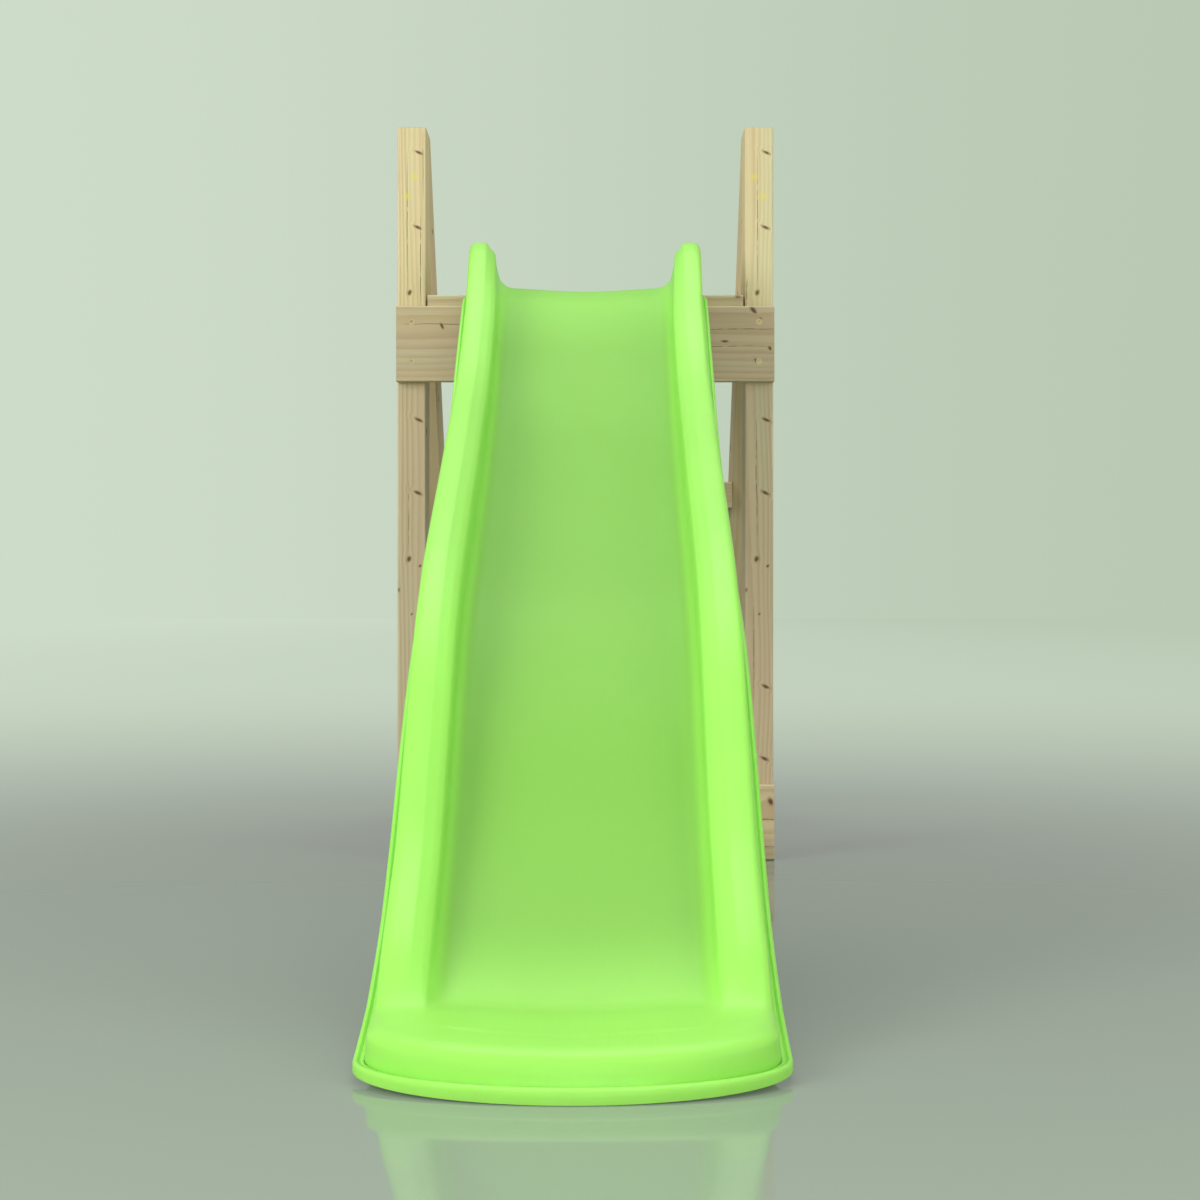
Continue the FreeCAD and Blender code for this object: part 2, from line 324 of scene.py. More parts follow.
class SharedEffects:
    """Node groups that several materials use, each built once."""

    def __init__(self) -> None:
        """Build every group."""
        self.ring_grain = self._ring_grain()
        self.knot = self._knot()
        self.drying_check = self._drying_check()
        self.edge_wear = self._edge_wear()
        self.spot = self._spot()
        self.moulded_skin = self._moulded_skin()
        self.scuffs_and_bed_shade = self._scuffs_and_bed_shade()
        self.ground_dirt = self._ground_dirt()

    @staticmethod
    def _ring_grain() -> bpy.types.NodeTree:
        """Growth rings cut lengthwise: a point is across, through and along the timber."""
        g, i, o = new_group("ring_grain", ("Point",),
                            ("Pith across", "Pith through", "Spacing", "Seed", "Shift"),
                            ("Late", "Fibre", "Tone", "Height"))
        u, v, w = g.split(i["Point"])
        seeded = g.mul(i["Seed"], 3.7)
        slow = g.noise(g.join(g.mul(u, 9.0), g.add(g.mul(v, 9.0), seeded), g.mul(w, 1.3)))
        sway = g.noise(g.join(seeded, 0.0, g.mul(w, 2.2)), 1.0, 1.0)
        across = g.add(g.sub(u, i["Pith across"]), i["Shift"])
        across = g.add(across, g.mul(g.sub(sway, 0.5), 0.022))
        through = g.sub(v, i["Pith through"])
        radius = g.vector("LENGTH", g.join(across, through, 0.0))
        radius = g.add(radius, g.mul(slow, 0.012))
        rings = g.math("FRACT", g.div(radius, i["Spacing"]))
        late = g.mul(g.step(rings, 0.25, 0.88), g.step(rings, 1.0, 0.93))
        year = g.noise(g.join(g.math("FLOOR", g.div(radius, i["Spacing"])), seeded, 0.0), 1.7, 0.0)
        late = g.mul(late, g.add(0.35, g.mul(year, 1.1)), clamp=True)
        fibre = g.noise(g.join(g.mul(u, 1150.0), g.mul(v, 1150.0), g.mul(w, 11.0)), 1.0, 3.0, 0.62)
        tone = g.noise(g.join(g.mul(u, 26.0), g.add(g.mul(v, 26.0), seeded), g.mul(w, 1.6)))
        height = g.add(g.mul(late, 0.55), g.mul(fibre, 0.45))
        for label, value in (("Late", late), ("Fibre", fibre), ("Tone", tone), ("Height", height)):
            g.feed(o[label], value)
        return g.tree

    @staticmethod
    def _knot() -> bpy.types.NodeTree:
        """An oval knot: its dark core, the ring round it, and how it pushes the grain aside."""
        g, i, o = new_group("knot", ("Point",), ("Across", "Along", "Wide", "Long", "Slant", "Through"),
                            ("Core", "Halo", "Shift", "Bark"))
        u, v, w = g.split(i["Point"])
        pu = g.sub(u, i["Across"])
        pw = g.sub(w, i["Along"])
        pw = g.add(pw, g.mul(pu, i["Slant"]))
        rough = g.noise(g.join(g.mul(u, 420.0), g.mul(v, 60.0), g.mul(w, 420.0)))
        reach = g.vector("LENGTH", g.join(g.div(pu, i["Wide"]), g.div(pw, i["Long"]), 0.0))
        ragged = g.add(reach, g.mul(g.sub(rough, 0.5), 0.7))
        near = g.step(g.size(g.sub(v, i["Through"])), 0.007, 0.003)
        core = g.mul(g.step(ragged, 1.05, 0.55), near)
        halo = g.mul(g.step(ragged, 2.3, 1.1), g.sub(near, core), clamp=True)
        bark = g.mul(g.step(ragged, 0.7, 0.95), g.step(ragged, 1.25, 1.0))
        bark = g.mul(bark, near)
        pull = g.math("EXPONENT", g.mul(g.math("POWER", reach, 2.0), -0.16))
        shift = g.mul(g.mul(pu, pull), g.mul(near, -0.8))
        for label, value in (("Core", core), ("Halo", halo), ("Shift", shift), ("Bark", bark)):
            g.feed(o[label], value)
        return g.tree

    @staticmethod
    def _drying_check() -> bpy.types.NodeTree:
        """A hairline split that runs with the grain."""
        g, i, o = new_group("drying_check", ("Point",), ("Across", "Start", "End", "Width"), ("Mask",))
        u, _, w = g.split(i["Point"])
        wander = g.noise(g.join(i["Across"], 0.0, g.mul(w, 14.0)), 1.0, 3.0)
        off = g.sub(g.add(u, g.mul(g.sub(wander, 0.5), 0.005)),
                     i["Across"])
        middle = g.mul(g.add(i["Start"], i["End"]), 0.5)
        half = g.mul(g.sub(i["End"], i["Start"]), 0.5)
        along = g.div(g.size(g.sub(w, middle)), half)
        taper = g.sub(1.0, g.math("POWER", along, 2.0), clamp=True)
        breaks = g.step(g.noise(g.join(0.0, i["Across"], g.mul(w, 60.0)), 1.0, 1.0), 0.3, 0.5)
        wide = g.mul(i["Width"], g.add(0.05, g.mul(taper, breaks)))
        mask = g.step(g.div(g.size(off), wide), 1.0, 0.35)
        g.feed(o["Mask"], g.mul(mask, g.step(taper, 0.0, 0.06)))
        return g.tree

    @staticmethod
    def _edge_wear() -> bpy.types.NodeTree:
        """How near a point is to the long corners of a box, broken up by noise."""
        g, i, o = new_group("edge_wear", ("Point", "Centre", "Half"), ("Reach",), ("Mask",))
        away = g.vector("ABSOLUTE", g.vector("SUBTRACT", i["Point"], i["Centre"]))
        left = g.vector("SUBTRACT", i["Half"], away)
        u, v, _ = g.split(left)
        far = g.math("MAXIMUM", u, v)
        worn = g.noise(g.vector("MULTIPLY", i["Point"], (90.0, 90.0, 35.0)), 1.0, 3.0, 0.6)
        reach = g.mul(i["Reach"], g.add(0.35, g.mul(worn, 1.3)))
        g.feed(o["Mask"], g.step(g.div(far, reach), 1.0, 0.3))
        return g.tree

    @staticmethod
    def _spot() -> bpy.types.NodeTree:
        """A soft round stain on the front face."""
        g, i, o = new_group("spot", ("Point",), ("Across", "Along", "Size"), ("Mask",))
        u, _, w = g.split(i["Point"])
        off = g.join(g.sub(u, i["Across"]), 0.0, g.sub(w, i["Along"]))
        grit = g.noise(i["Point"], 260.0, 3.0)
        reach = g.div(g.vector("LENGTH", off), i["Size"])
        g.feed(o["Mask"], g.step(g.add(reach, g.mul(grit, 0.5)), 1.25, 0.4))
        return g.tree

    @staticmethod
    def _moulded_skin() -> bpy.types.NodeTree:
        """The faint unevenness of a moulded skin: broad mottle, orange peel and fine grain."""
        g, i, o = new_group("moulded_skin", ("Point",), (), ("Mottle", "Peel", "Grit"))
        g.feed(o["Mottle"], g.noise(i["Point"], 5.5, 3.0, 0.55))
        g.feed(o["Peel"], g.noise(i["Point"], 210.0, 2.0, 0.5))
        g.feed(o["Grit"], g.noise(i["Point"], 1500.0, 2.0, 0.6))
        return g.tree

    @staticmethod
    def _scuffs_and_bed_shade() -> bpy.types.NodeTree:
        """Fine scratches that run down the bed, strongest along its middle, and a mask of the bed between the
        rails where shade is painted, fading out at the run-out and weaker near the top.
        """
        g, i, o = new_group("scuffs_and_bed_shade", ("Point",), ("Half bed",), ("Scratch", "Bed shade"))
        x, y, z = g.split(i["Point"])
        stretched = g.join(g.mul(x, 820.0), g.mul(y, 9.0), g.mul(z, 9.0))
        lines = g.step(g.noise(stretched, 1.0, 3.0, 0.65), 0.56, 0.78)
        patch = g.step(g.noise(g.join(g.mul(x, 14.0), g.mul(y, 4.0), z), 1.0, 2.0),
                       0.42, 0.7)
        # bed: the bed between the rails, where shade is painted; foot fades it out at the run-out and head
        # weakens it near the top
        bed = g.step(g.div(g.size(x), i["Half bed"]), 1.04, 0.90)
        foot = g.step(y, -1.045, -0.85)
        head = g.sub(1.0, g.mul(g.step(y, 0.12, 0.34), 0.55))
        g.feed(o["Scratch"], g.mul(g.mul(lines, patch), bed))
        g.feed(o["Bed shade"], g.mul(bed, g.mul(foot, head)))
        return g.tree

    @staticmethod
    def _ground_dirt() -> bpy.types.NodeTree:
        """Damp and dirt that creep up from the ground."""
        g, i, o = new_group("ground_dirt", ("Place",), ("Reach",), ("Mask",))
        ragged = g.noise(g.vector("MULTIPLY", i["Place"], (40.0, 40.0, 12.0)), 1.0, 4.0, 0.6)
        _, _, z = g.split(i["Place"])
        level = g.sub(g.div(z, i["Reach"]), g.mul(ragged, 0.9))
        g.feed(o["Mask"], g.step(level, 0.35, -0.5))
        return g.tree


# ------------------------------------------------------------------ timber finish
class Grain(Enum):
    """Which way a timber's fibres run."""

    UPRIGHT = "along Z"
    CROSSWAYS_ON_EDGE = "along X, wide face to the front"
    CROSSWAYS_FLAT = "along X, wide face up"
    FRONT_TO_BACK = "along Y"
    LEANING = "up the ladder's slope"


@dataclass(frozen=True)
class Knot:
    """One knot, placed across and along its timber, in metres.

    It shows on the face that lies at `through`, or on the timber's front or top face without it.
    On an edge, across is read through the timber and through is read across it.
    """

    across: float
    along: float
    wide: float = 0.0045
    long: float = 0.0028
    slant: float = 0.35
    through: float | None = None
    edge: bool = False


@dataclass(frozen=True)
class Check:
    """One drying split, in metres."""

    across: float
    start: float
    end: float
    width: float = 0.0006


@dataclass(frozen=True)
class PineTones:
    """Colours that all the timbers share."""

    warm: Colour = (0.60, 0.46, 0.27)
    treated: Colour = (0.62, 0.60, 0.36)
    # a darker tint multiplied onto the posts below the deck: painted shade
    below_deck_shade: Colour = (0.89, 0.865, 0.95)
    knot_ring: Colour = (0.36, 0.20, 0.085)
    knot_core: Colour = (0.085, 0.042, 0.018)
    knot_bark: Colour = (0.045, 0.028, 0.016)
    split: Colour = (0.07, 0.045, 0.025)
    stain: Colour = (0.72, 0.60, 0.10)
    worn: Colour = (0.80, 0.70, 0.48)
    dirt: Colour = (0.21, 0.17, 0.11)
    end_grain: Colour = (0.42, 0.30, 0.16)


@dataclass(frozen=True)
class PineShares:
    """How strongly each effect shows, from 0 to 1, and how far some reach, in metres."""

    streak: float = 0.56
    streak_upright: float = 0.44
    warm: float = 0.5
    treated: float = 0.45
    fibre_dark: float = 0.87
    fibre_range: float = 0.26
    knot_ring: float = 0.62
    knot_core: float = 0.93
    knot_bark: float = 0.75
    split: float = 0.86
    stain: float = 0.6
    stain_size: float = 0.009
    worn: float = 0.28
    worn_reach: float = 0.0042
    dirt: float = 0.45
    dirt_reach: float = 0.07
    end_grain: float = 0.35
    end_reach: tuple[float, float] = (0.0012, 0.0002)
    # how far the painted shade below the deck fades in, above and below its line
    shade_fade_above: float = 0.02
    shade_fade_under: float = 0.10
    split_depth: float = 2.2
    knot_height: float = 0.5
    rough: float = 0.50
    fibre_rough: float = 0.22
    worn_rough: float = 0.1
    relief: float = 0.00035
    relief_strength: float = 0.85
    specular: float = 0.32


@dataclass(frozen=True)
class PineFinish:
    """Planed, pressure-treated pine with its own rings, knots and splits."""

    name: str
    grain: Grain
    seed: float
    pith: tuple[float, float] = (0.0, 0.12)
    spacing: float = 0.0042
    early: Colour = (0.70, 0.58, 0.335)
    late: Colour = (0.50, 0.345, 0.165)
    knots: tuple[Knot, ...] = ()
    checks: tuple[Check, ...] = ()
    spots: tuple[tuple[float, float], ...] = ()
    # height below which the timber is darkened as painted shade; off unless above zero
    shade_below: float = -1.0
    lean: float = 0.0
    leg_width: float = 0.095
    tones: PineTones = PineTones()
    shares: PineShares = PineShares()

    def grain_point(self, g: Graph, place: Socket) -> Socket:
        """Turn the object's place into across, through and along the timber.

        Args:
            g: the material's graph.
            place: the point in the object's own frame.

        Returns:
            A vector socket.
        """
        if self.grain is Grain.LEANING:
            turned = g.node("ShaderNodeVectorRotate", rotation_type="X_AXIS")
            g.feed(turned.inputs["Vector"], place)
            turned.inputs["Angle"].default_value = -self.lean
            return turned.outputs["Vector"]
        x, y, z = g.split(place)
        order = {Grain.UPRIGHT: (x, y, z), Grain.CROSSWAYS_ON_EDGE: (z, y, x),
                 Grain.CROSSWAYS_FLAT: (y, z, x), Grain.FRONT_TO_BACK: (z, x, y)}[self.grain]
        return g.join(*order)

    def reorder(self, corner: Sequence[float]) -> tuple[float, float, float]:
        """The same change of axes, for plain numbers.

        Args:
            corner: a corner of the timber's box.

        Returns:
            Its places across, through and along the timber.
        """
        x, y, z = corner
        return {Grain.UPRIGHT: (x, y, z), Grain.LEANING: (x, y, z), Grain.CROSSWAYS_ON_EDGE: (z, y, x),
                Grain.CROSSWAYS_FLAT: (y, z, x), Grain.FRONT_TO_BACK: (z, x, y)}[self.grain]

    def _flaws(self, g: Graph, effects: SharedEffects, point: Socket, face: float) -> dict[str, object]:
        """Knots and drying splits.

        Args:
            g: the material's graph.
            effects: the shared node groups.
            point: the point across, through and along the timber.
            face: where the timber's main face lies, for knots that name no other.

        Returns:
            The masks core, halo, bark and split, and the grain's shift.
        """
        u, v, w = g.split(point)
        turned = g.join(v, u, w)
        flaws: dict[str, object] = dict(shift=0.0, core=0.0, halo=0.0, bark=0.0, split=0.0)
        for knot in self.knots:
            made = g.group(effects.knot, point=turned if knot.edge else point, across=knot.across,
                           along=knot.along, wide=knot.wide, long=knot.long, slant=knot.slant,
                           through=face if knot.through is None else knot.through).outputs
            if not knot.edge:
                flaws["shift"] = g.add(made["Shift"], flaws["shift"])
            for mask in ("core", "halo", "bark"):
                flaws[mask] = g.math("MAXIMUM", made[mask.capitalize()], flaws[mask])
        for check in self.checks:
            made = g.group(effects.drying_check, point=point, across=check.across, start=check.start,
                           end=check.end, width=check.width).outputs
            flaws["split"] = g.math("MAXIMUM", made["Mask"], flaws["split"])
        return flaws

    def _sound_wood(self, g: Graph, grain: dict, place: Socket) -> Socket:
        """Colour of the timber without its flaws, darkened below the deck as painted shade.

        Args:
            g: the material's graph.
            grain: the grain group's outputs.
            place: the point in the object's own frame.

        Returns:
            A colour socket.
        """
        tones, shares = self.tones, self.shares
        streak = g.mul(grain["Late"], shares.streak_upright if self.grain is Grain.UPRIGHT else shares.streak)
        colour = g.mix(streak, self.early, self.late)
        colour = g.mix(g.mul(g.step(grain["Tone"], 0.42, 0.75), shares.warm), colour, tones.warm)
        colour = g.mix(g.mul(g.step(grain["Tone"], 0.5, 0.28), shares.treated), colour, tones.treated)
        fine = g.add(shares.fibre_dark, g.mul(grain["Fibre"], shares.fibre_range))
        colour = g.mix(1.0, colour, g.join(fine, fine, fine), "MULTIPLY")
        # painted shade: below the deck the colour is multiplied darker
        if self.shade_below > 0:
            shade_mask = g.step(g.split(place)[2], self.shade_below + shares.shade_fade_above,
                          self.shade_below - shares.shade_fade_under)
            colour = g.mix(shade_mask, colour, tones.below_deck_shade, "MULTIPLY")
        return colour

    def build(self, effects: SharedEffects, low: Sequence[float], high: Sequence[float]) -> bpy.types.Material:
        """Make the material for a timber that fills a box.

        Args:
            effects: the shared node groups.
            low: the timber's lowest corner.
            high: the timber's highest corner.

        Returns:
            The finished material.
        """
        tones, shares = self.tones, self.shares
        material, g = new_material(self.name)
        place = g.node("ShaderNodeTexCoord").outputs["Object"]
        point = self.grain_point(g, place)
        a, b = self.reorder(low), self.reorder(high)
        centre = tuple((p + q) / 2 for p, q in zip(a, b))
        half = tuple((q - p) / 2 for p, q in zip(a, b))
        if self.grain is Grain.LEANING:
            half = (half[0], self.leg_width / 2, half[2] * 2)
            centre = (centre[0], high[1] * math.cos(self.lean) - half[1], centre[2])
        flaws = self._flaws(g, effects, point, b[1] if self.grain is Grain.CROSSWAYS_FLAT else a[1])
        grain = g.group(effects.ring_grain, point=point, pith_across=centre[0] + self.pith[0],
                        pith_through=centre[1] + self.pith[1], spacing=self.spacing, seed=self.seed,
                        shift=flaws["shift"]).outputs

        colour = self._sound_wood(g, grain, place)
        marks = []
        if self.knots:
            marks += [(flaws["halo"], shares.knot_ring, tones.knot_ring),
                      (flaws["core"], shares.knot_core, tones.knot_core),
                      (flaws["bark"], shares.knot_bark, tones.knot_bark)]
        if self.checks:
            marks.append((flaws["split"], shares.split, tones.split))
        for across, along in self.spots:
            spot = g.group(effects.spot, point=point, across=across, along=along, size=shares.stain_size)
            marks.append((spot.outputs["Mask"], shares.stain, tones.stain))
        wear = g.group(effects.edge_wear, point=point, centre=centre, half=half,
                       reach=shares.worn_reach).outputs["Mask"]
        dirt = g.group(effects.ground_dirt, place=place, reach=shares.dirt_reach).outputs["Mask"]
        marks += [(wear, shares.worn, tones.worn), (dirt, shares.dirt, tones.dirt)]
        if self.grain is not Grain.LEANING:
            left = g.sub(half[2], g.size(g.sub(g.split(point)[2], centre[2])))
            marks.append((g.step(left, *shares.end_reach), shares.end_grain, tones.end_grain))
        for mask, share, tone in marks:
            colour = g.mix(g.mul(mask, share), colour, tone)

        height = g.sub(grain["Height"], g.mul(flaws["split"], shares.split_depth))
        height = g.add(height, g.mul(flaws["core"], shares.knot_height))
        rough = g.add(shares.rough, g.mul(grain["Fibre"], shares.fibre_rough))
        rough = g.add(rough, g.mul(wear, shares.worn_rough))
        g.surface(colour, rough, g.bump(height, shares.relief, shares.relief_strength),
                  {"Specular IOR Level": shares.specular})
        return material


@dataclass(frozen=True)
class ChutePlastic:
    """Lime-green moulded polyethylene with a satin gloss, scuffed along the bed; the bed between the rails is
    painted darker as shade.
    """

    name: str = "lime_polyethylene"
    body: Colour = (0.335, 0.80, 0.110)
    # deep: a darker green, used for the random mottle and for the painted shade on the bed
    deep: Colour = (0.200, 0.470, 0.062)
    pale: Colour = (0.34, 0.66, 0.14)
    dirty: Colour = (0.20, 0.22, 0.10)
    half_bed: float = 0.128
    mottle_share: float = 0.12
    # share of the painted shade on the bed between the rails
    bed_shade_share: float = 0.92
    scratch_share: float = 0.22
    dirt_share: float = 0.10
    dirt_reach: float = 0.028
    smooth: float = 0.30
    mottle_rough: float = 0.12
    scratch_rough: float = 0.22
    run_rough: float = 0.16
    peel: float = 0.75
    grit: float = 0.12
    scratch_depth: float = 0.3
    relief: float = 0.00022
    relief_strength: float = 0.6

    def build(self, effects: SharedEffects) -> bpy.types.Material:
        """Make the chute's material.

        Args:
            effects: the shared node groups.

        Returns:
            The finished material.
        """
        material, g = new_material(self.name)
        place = g.node("ShaderNodeTexCoord").outputs["Object"]
        skin = g.group(effects.moulded_skin, point=place).outputs
        scuffs_and_shade = g.group(effects.scuffs_and_bed_shade, point=place, half_bed=self.half_bed).outputs
        dirt = g.group(effects.ground_dirt, place=place, reach=self.dirt_reach).outputs["Mask"]
        colour = self.body
        # The bed mask mixes in the deep tone as painted shade between the rails; the mottle mixes it in at
        # random.
        for mask, share, tone in ((g.step(skin["Mottle"], 0.35, 0.7), self.mottle_share, self.deep),
                                  (scuffs_and_shade["Bed shade"], self.bed_shade_share, self.deep),
                                  (scuffs_and_shade["Scratch"], self.scratch_share, self.pale),
                                  (dirt, self.dirt_share, self.dirty)):
            colour = g.mix(g.mul(mask, share), colour, tone)
        rough = g.add(self.smooth, g.mul(skin["Mottle"], self.mottle_rough))
        rough = g.add(rough, g.mul(scuffs_and_shade["Scratch"], self.scratch_rough))
        rough = g.add(rough, g.mul(scuffs_and_shade["Bed shade"], self.run_rough))
        height = g.add(g.mul(skin["Peel"], self.peel), g.mul(skin["Grit"], self.grit))
        height = g.sub(height, g.mul(scuffs_and_shade["Scratch"], self.scratch_depth))
        g.surface(colour, rough, g.bump(height, self.relief, self.relief_strength),
                  {"IOR": 1.5, "Specular IOR Level": 0.32, "Subsurface Weight": 0.12,
                   "Subsurface Radius": (0.004, 0.008, 0.002), "Subsurface Scale": 1.0})
        return material


@dataclass(frozen=True)
class YellowZinc:
    """Passivated zinc plating on the screws."""

    name: str = "yellow_zinc"
    bright: Colour = (0.84, 0.70, 0.40)
    tarnish: Colour = (0.46, 0.36, 0.20)

    def build(self, effects: SharedEffects) -> bpy.types.Material:
        """Make the plated steel, patchy and slightly brushed.

        Args:
            effects: the shared node groups.

        Returns:
            The finished material.
        """
        material, g = new_material(self.name)
        place = g.node("ShaderNodeTexCoord").outputs["Object"]
        skin = g.group(effects.moulded_skin, point=place).outputs
        patch = g.step(g.noise(place, 900.0, 3.0), 0.4, 0.7)
        g.surface(g.mix(g.mul(patch, 0.5), self.bright, self.tarnish), g.add(0.32, g.mul(patch, 0.2)),
                  g.bump(skin["Grit"], 0.00005, 0.5), {"Metallic": 0.60})
        return material


# ------------------------------------------------------------------ timber frame
@dataclass
class TimberFrame:
    """The posts, boards, legs, deck and treads, dressed as separate timbers."""

    effects: SharedEffects
    post: tuple = field(default_factory=lambda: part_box("front_post_left"))
    deck_top: float = field(default_factory=lambda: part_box("deck_board_front")[1][2])
    leg_top: float = 0.012
    shade_depth: float = 0.05

    def _leg_lean(self) -> float:
        """Angle of the rear legs from upright, from their outline."""
        low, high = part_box("rear_leg_left")
        return math.atan2(high[1] - self.post[1][1] - self.leg_top, high[2] - low[2])

    def _scatter(self, node: str, grain: Grain, seed: int, count: int) -> tuple[Knot, ...]:
        """Knots at seeded places on a timber that no picture details.

        Args:
            node: the timber.
            grain: its grain direction.
            seed: the seed.
            count: how many knots.

        Returns:
            The knots.
        """
        pick = random.Random(seed)
        probe = PineFinish("probe", grain, 0.0)
        low, high = (probe.reorder(corner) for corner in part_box(node))
        knots = []
        for k in range(count):
            edge = k % 3 == 2
            a, b = (1, 0) if edge else (0, 1)
            knots.append(Knot(pick.uniform(low[a], high[a]), pick.uniform(low[2], high[2]),
                              pick.uniform(0.0026, 0.0065), pick.uniform(0.0020, 0.0045),
                              pick.uniform(-0.5, 0.6), (low, high)[k % 2][b], edge))
        return tuple(knots)

    def _posts(self) -> Iterable[tuple[str, PineFinish]]:
        """Finishes of the two front posts.

        Returns:
            Each node's name and finish.
        """
        # each knot: across and along the post, half width and half height
        knots = ((0.0340, 1.117, 0.0055, 0.0024), (0.0325, 0.9986, 0.0058, 0.0026),
                 (0.0195, 0.8955, 0.0030, 0.0042), (0.0340, 0.694, 0.0060, 0.0026),
                 (0.0325, 0.5785, 0.0058, 0.0028), (0.0185, 0.4739, 0.0034, 0.0045),
                 (0.0360, 0.4628, 0.0020, 0.0022), (0.0022, 0.4248, 0.0018, 0.0034),
                 (0.0228, 0.3867, 0.0016, 0.0018), (0.0330, 0.272, 0.0058, 0.0027),
                 (0.0310, 0.158, 0.0056, 0.0030))
        # each side: seed, pith, knot seed, splits, stains
        sides = {
            "left": (1.0, 0.034, 31, ((0.016, 0.90, 1.12, 0.0005), (0.037, 0.86, 1.02, 0.0007),
                                      (0.041, 1.04, 1.15, 0.0005), (0.0185, 0.48, 0.60, 0.0005)),
                     ((0.027, 1.079), (0.015, 1.048))),
            "right": (2.0, -0.034, 32, ((0.0195, 0.90, 1.12, 0.0006), (0.0185, 0.48, 0.70, 0.0006),
                                        (0.003, 0.86, 0.92, 0.0008), (0.014, 0.25, 0.42, 0.0005)),
                      ((0.014, 1.079), (0.029, 1.048)))}
        across_share, along_share, large = 0.78, 0.72, 0.005
        for side, (seed, pith, knot_seed, splits, stains) in sides.items():
            node = f"front_post_{side}"
            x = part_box(node)[0][0]
            front = tuple(Knot(x + a, z, wide * across_share, long * along_share, 0.4 if wide > large else -0.3)
                          for a, z, wide, long in knots)
            others = tuple(knot for knot in self._scatter(node, Grain.UPRIGHT, knot_seed, 9)
                           if knot.edge or knot.through > self.post[0][1])
            yield node, PineFinish(
                f"pine_post_{side}", Grain.UPRIGHT, seed, (pith, 0.055), 0.0027, (0.675, 0.555, 0.32),
                (0.43, 0.29, 0.14), front + others, tuple(Check(x + a, *rest) for a, *rest in splits),
                tuple((x + a, z) for a, z in stains), self.deck_top - self.shade_depth)

    def _boards(self) -> Iterable[tuple[str, PineFinish]]:
        """Finishes of the two boards across the posts.

        Returns:
            Each node's name and finish.
        """
        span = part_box("front_board")[1][0]
        # node: finish, seed, pith, early wood, late wood, knots, splits; the heights are above its edge
        boards = {
            "front_board": (
                "pine_front_board", 3.0, (0.030, -0.05), (0.51, 0.405, 0.262), (0.40, 0.262, 0.155),
                ((0.087, -span + 0.072, 0.0035, 0.0016, 0.4), (0.112, span - 0.033, 0.0042, 0.0030, 0.6),
                 (0.098, span - 0.023, 0.0018, 0.0022, -0.3), (0.063, span - 0.078, 0.0014, 0.0040, 0.1),
                 (0.052, span - 0.007, 0.0024, 0.0020, 0.3), (0.032, span - 0.028, 0.0028, 0.0022, 0.5),
                 (0.060, 0.05, 0.006, 0.010, 0.2)),
                ((0.055, 0.10, span, 0.0006), (0.082, 0.16, span + 0.02, 0.0006),
                 (0.090, -span, -0.12, 0.0005))),
            "front_foot_board": (
                "pine_front_foot_board", 4.0, (0.020, -0.06), (0.62, 0.50, 0.30), (0.46, 0.30, 0.155),
                ((0.092, span - 0.006, 0.0045, 0.0030, 0.2), (0.087, span - 0.038, 0.0030, 0.0016, -0.4),
                 (0.050, -span + 0.10, 0.0050, 0.0080, 0.2)),
                ((0.064, 0.12, span + 0.03, 0.0011), (0.021, 0.18, span + 0.02, 0.0006)))}
        for node, (name, seed, pith, early, late, knots, splits) in boards.items():
            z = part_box(node)[0][2]
            yield node, PineFinish(name, Grain.CROSSWAYS_ON_EDGE, seed, pith, 0.0085, early, late,
                                   tuple(Knot(z + a, *rest) for a, *rest in knots),
                                   tuple(Check(z + a, *rest) for a, *rest in splits))

    def _legs(self) -> Iterable[tuple[str, PineFinish]]:
        """Finishes of the two leaning legs.

        Returns:
            Each node's name and finish.
        """
        lean = self._leg_lean()
        for side, seed, knot_seed in (("left", 7.0, 21), ("right", 8.0, 22)):
            node = f"rear_leg_{side}"
            yield node, PineFinish(f"pine_leg_{side}", Grain.LEANING, seed, (0.01, -0.10), 0.0055,
                                   (0.56, 0.46, 0.27), knots=self._leg_knots(node, knot_seed, lean), lean=lean)

    def _deck_and_treads(self) -> Iterable[tuple[str, PineFinish]]:
        """Finishes of the timbers whose knots are scattered.

        Returns:
            Each node's name and finish.
        """
        flat, deep = Grain.CROSSWAYS_FLAT, Grain.FRONT_TO_BACK
        # shade: a darker early wood painted on the treads and bearers as shade; the front deck board's late
        # wood (0.38, 0.25, 0.13) is darkened the same way
        shade, late = (0.52, 0.43, 0.26), PineFinish.late
        # node, finish, grain, seed, pith, ring spacing, early wood, late wood, knot seed, knots
        for node, name, grain, seed, pith, spacing, early, dark, knot_seed, count in (
                ("deck_board_front", "pine_deck_front", flat, 5.0, (0.02, -0.07), 0.0075,
                 (0.50, 0.43, 0.27), (0.38, 0.25, 0.13), 11, 5),
                ("deck_board_rear", "pine_deck_rear", flat, 6.0, (-0.02, -0.07), 0.0075,
                 (0.55, 0.46, 0.29), late, 12, 5),
                ("tread_upper", "pine_tread_upper", flat, 9.0, (0.01, -0.06), 0.005, shade, late, 13, 4),
                ("tread_lower", "pine_tread_lower", flat, 10.0, (-0.01, -0.06), 0.005, shade, late, 14, 4),
                ("deck_bearer_left", "pine_bearer_left", deep, 11.0, (0.0, 0.08), 0.005, shade, late, 15, 2),
                ("deck_bearer_right", "pine_bearer_right", deep, 12.0, (0.0, 0.08), 0.005, shade, late, 16, 2)):
            yield node, PineFinish(name, grain, seed, pith, spacing, early, dark,
                                   self._scatter(node, grain, knot_seed, count))

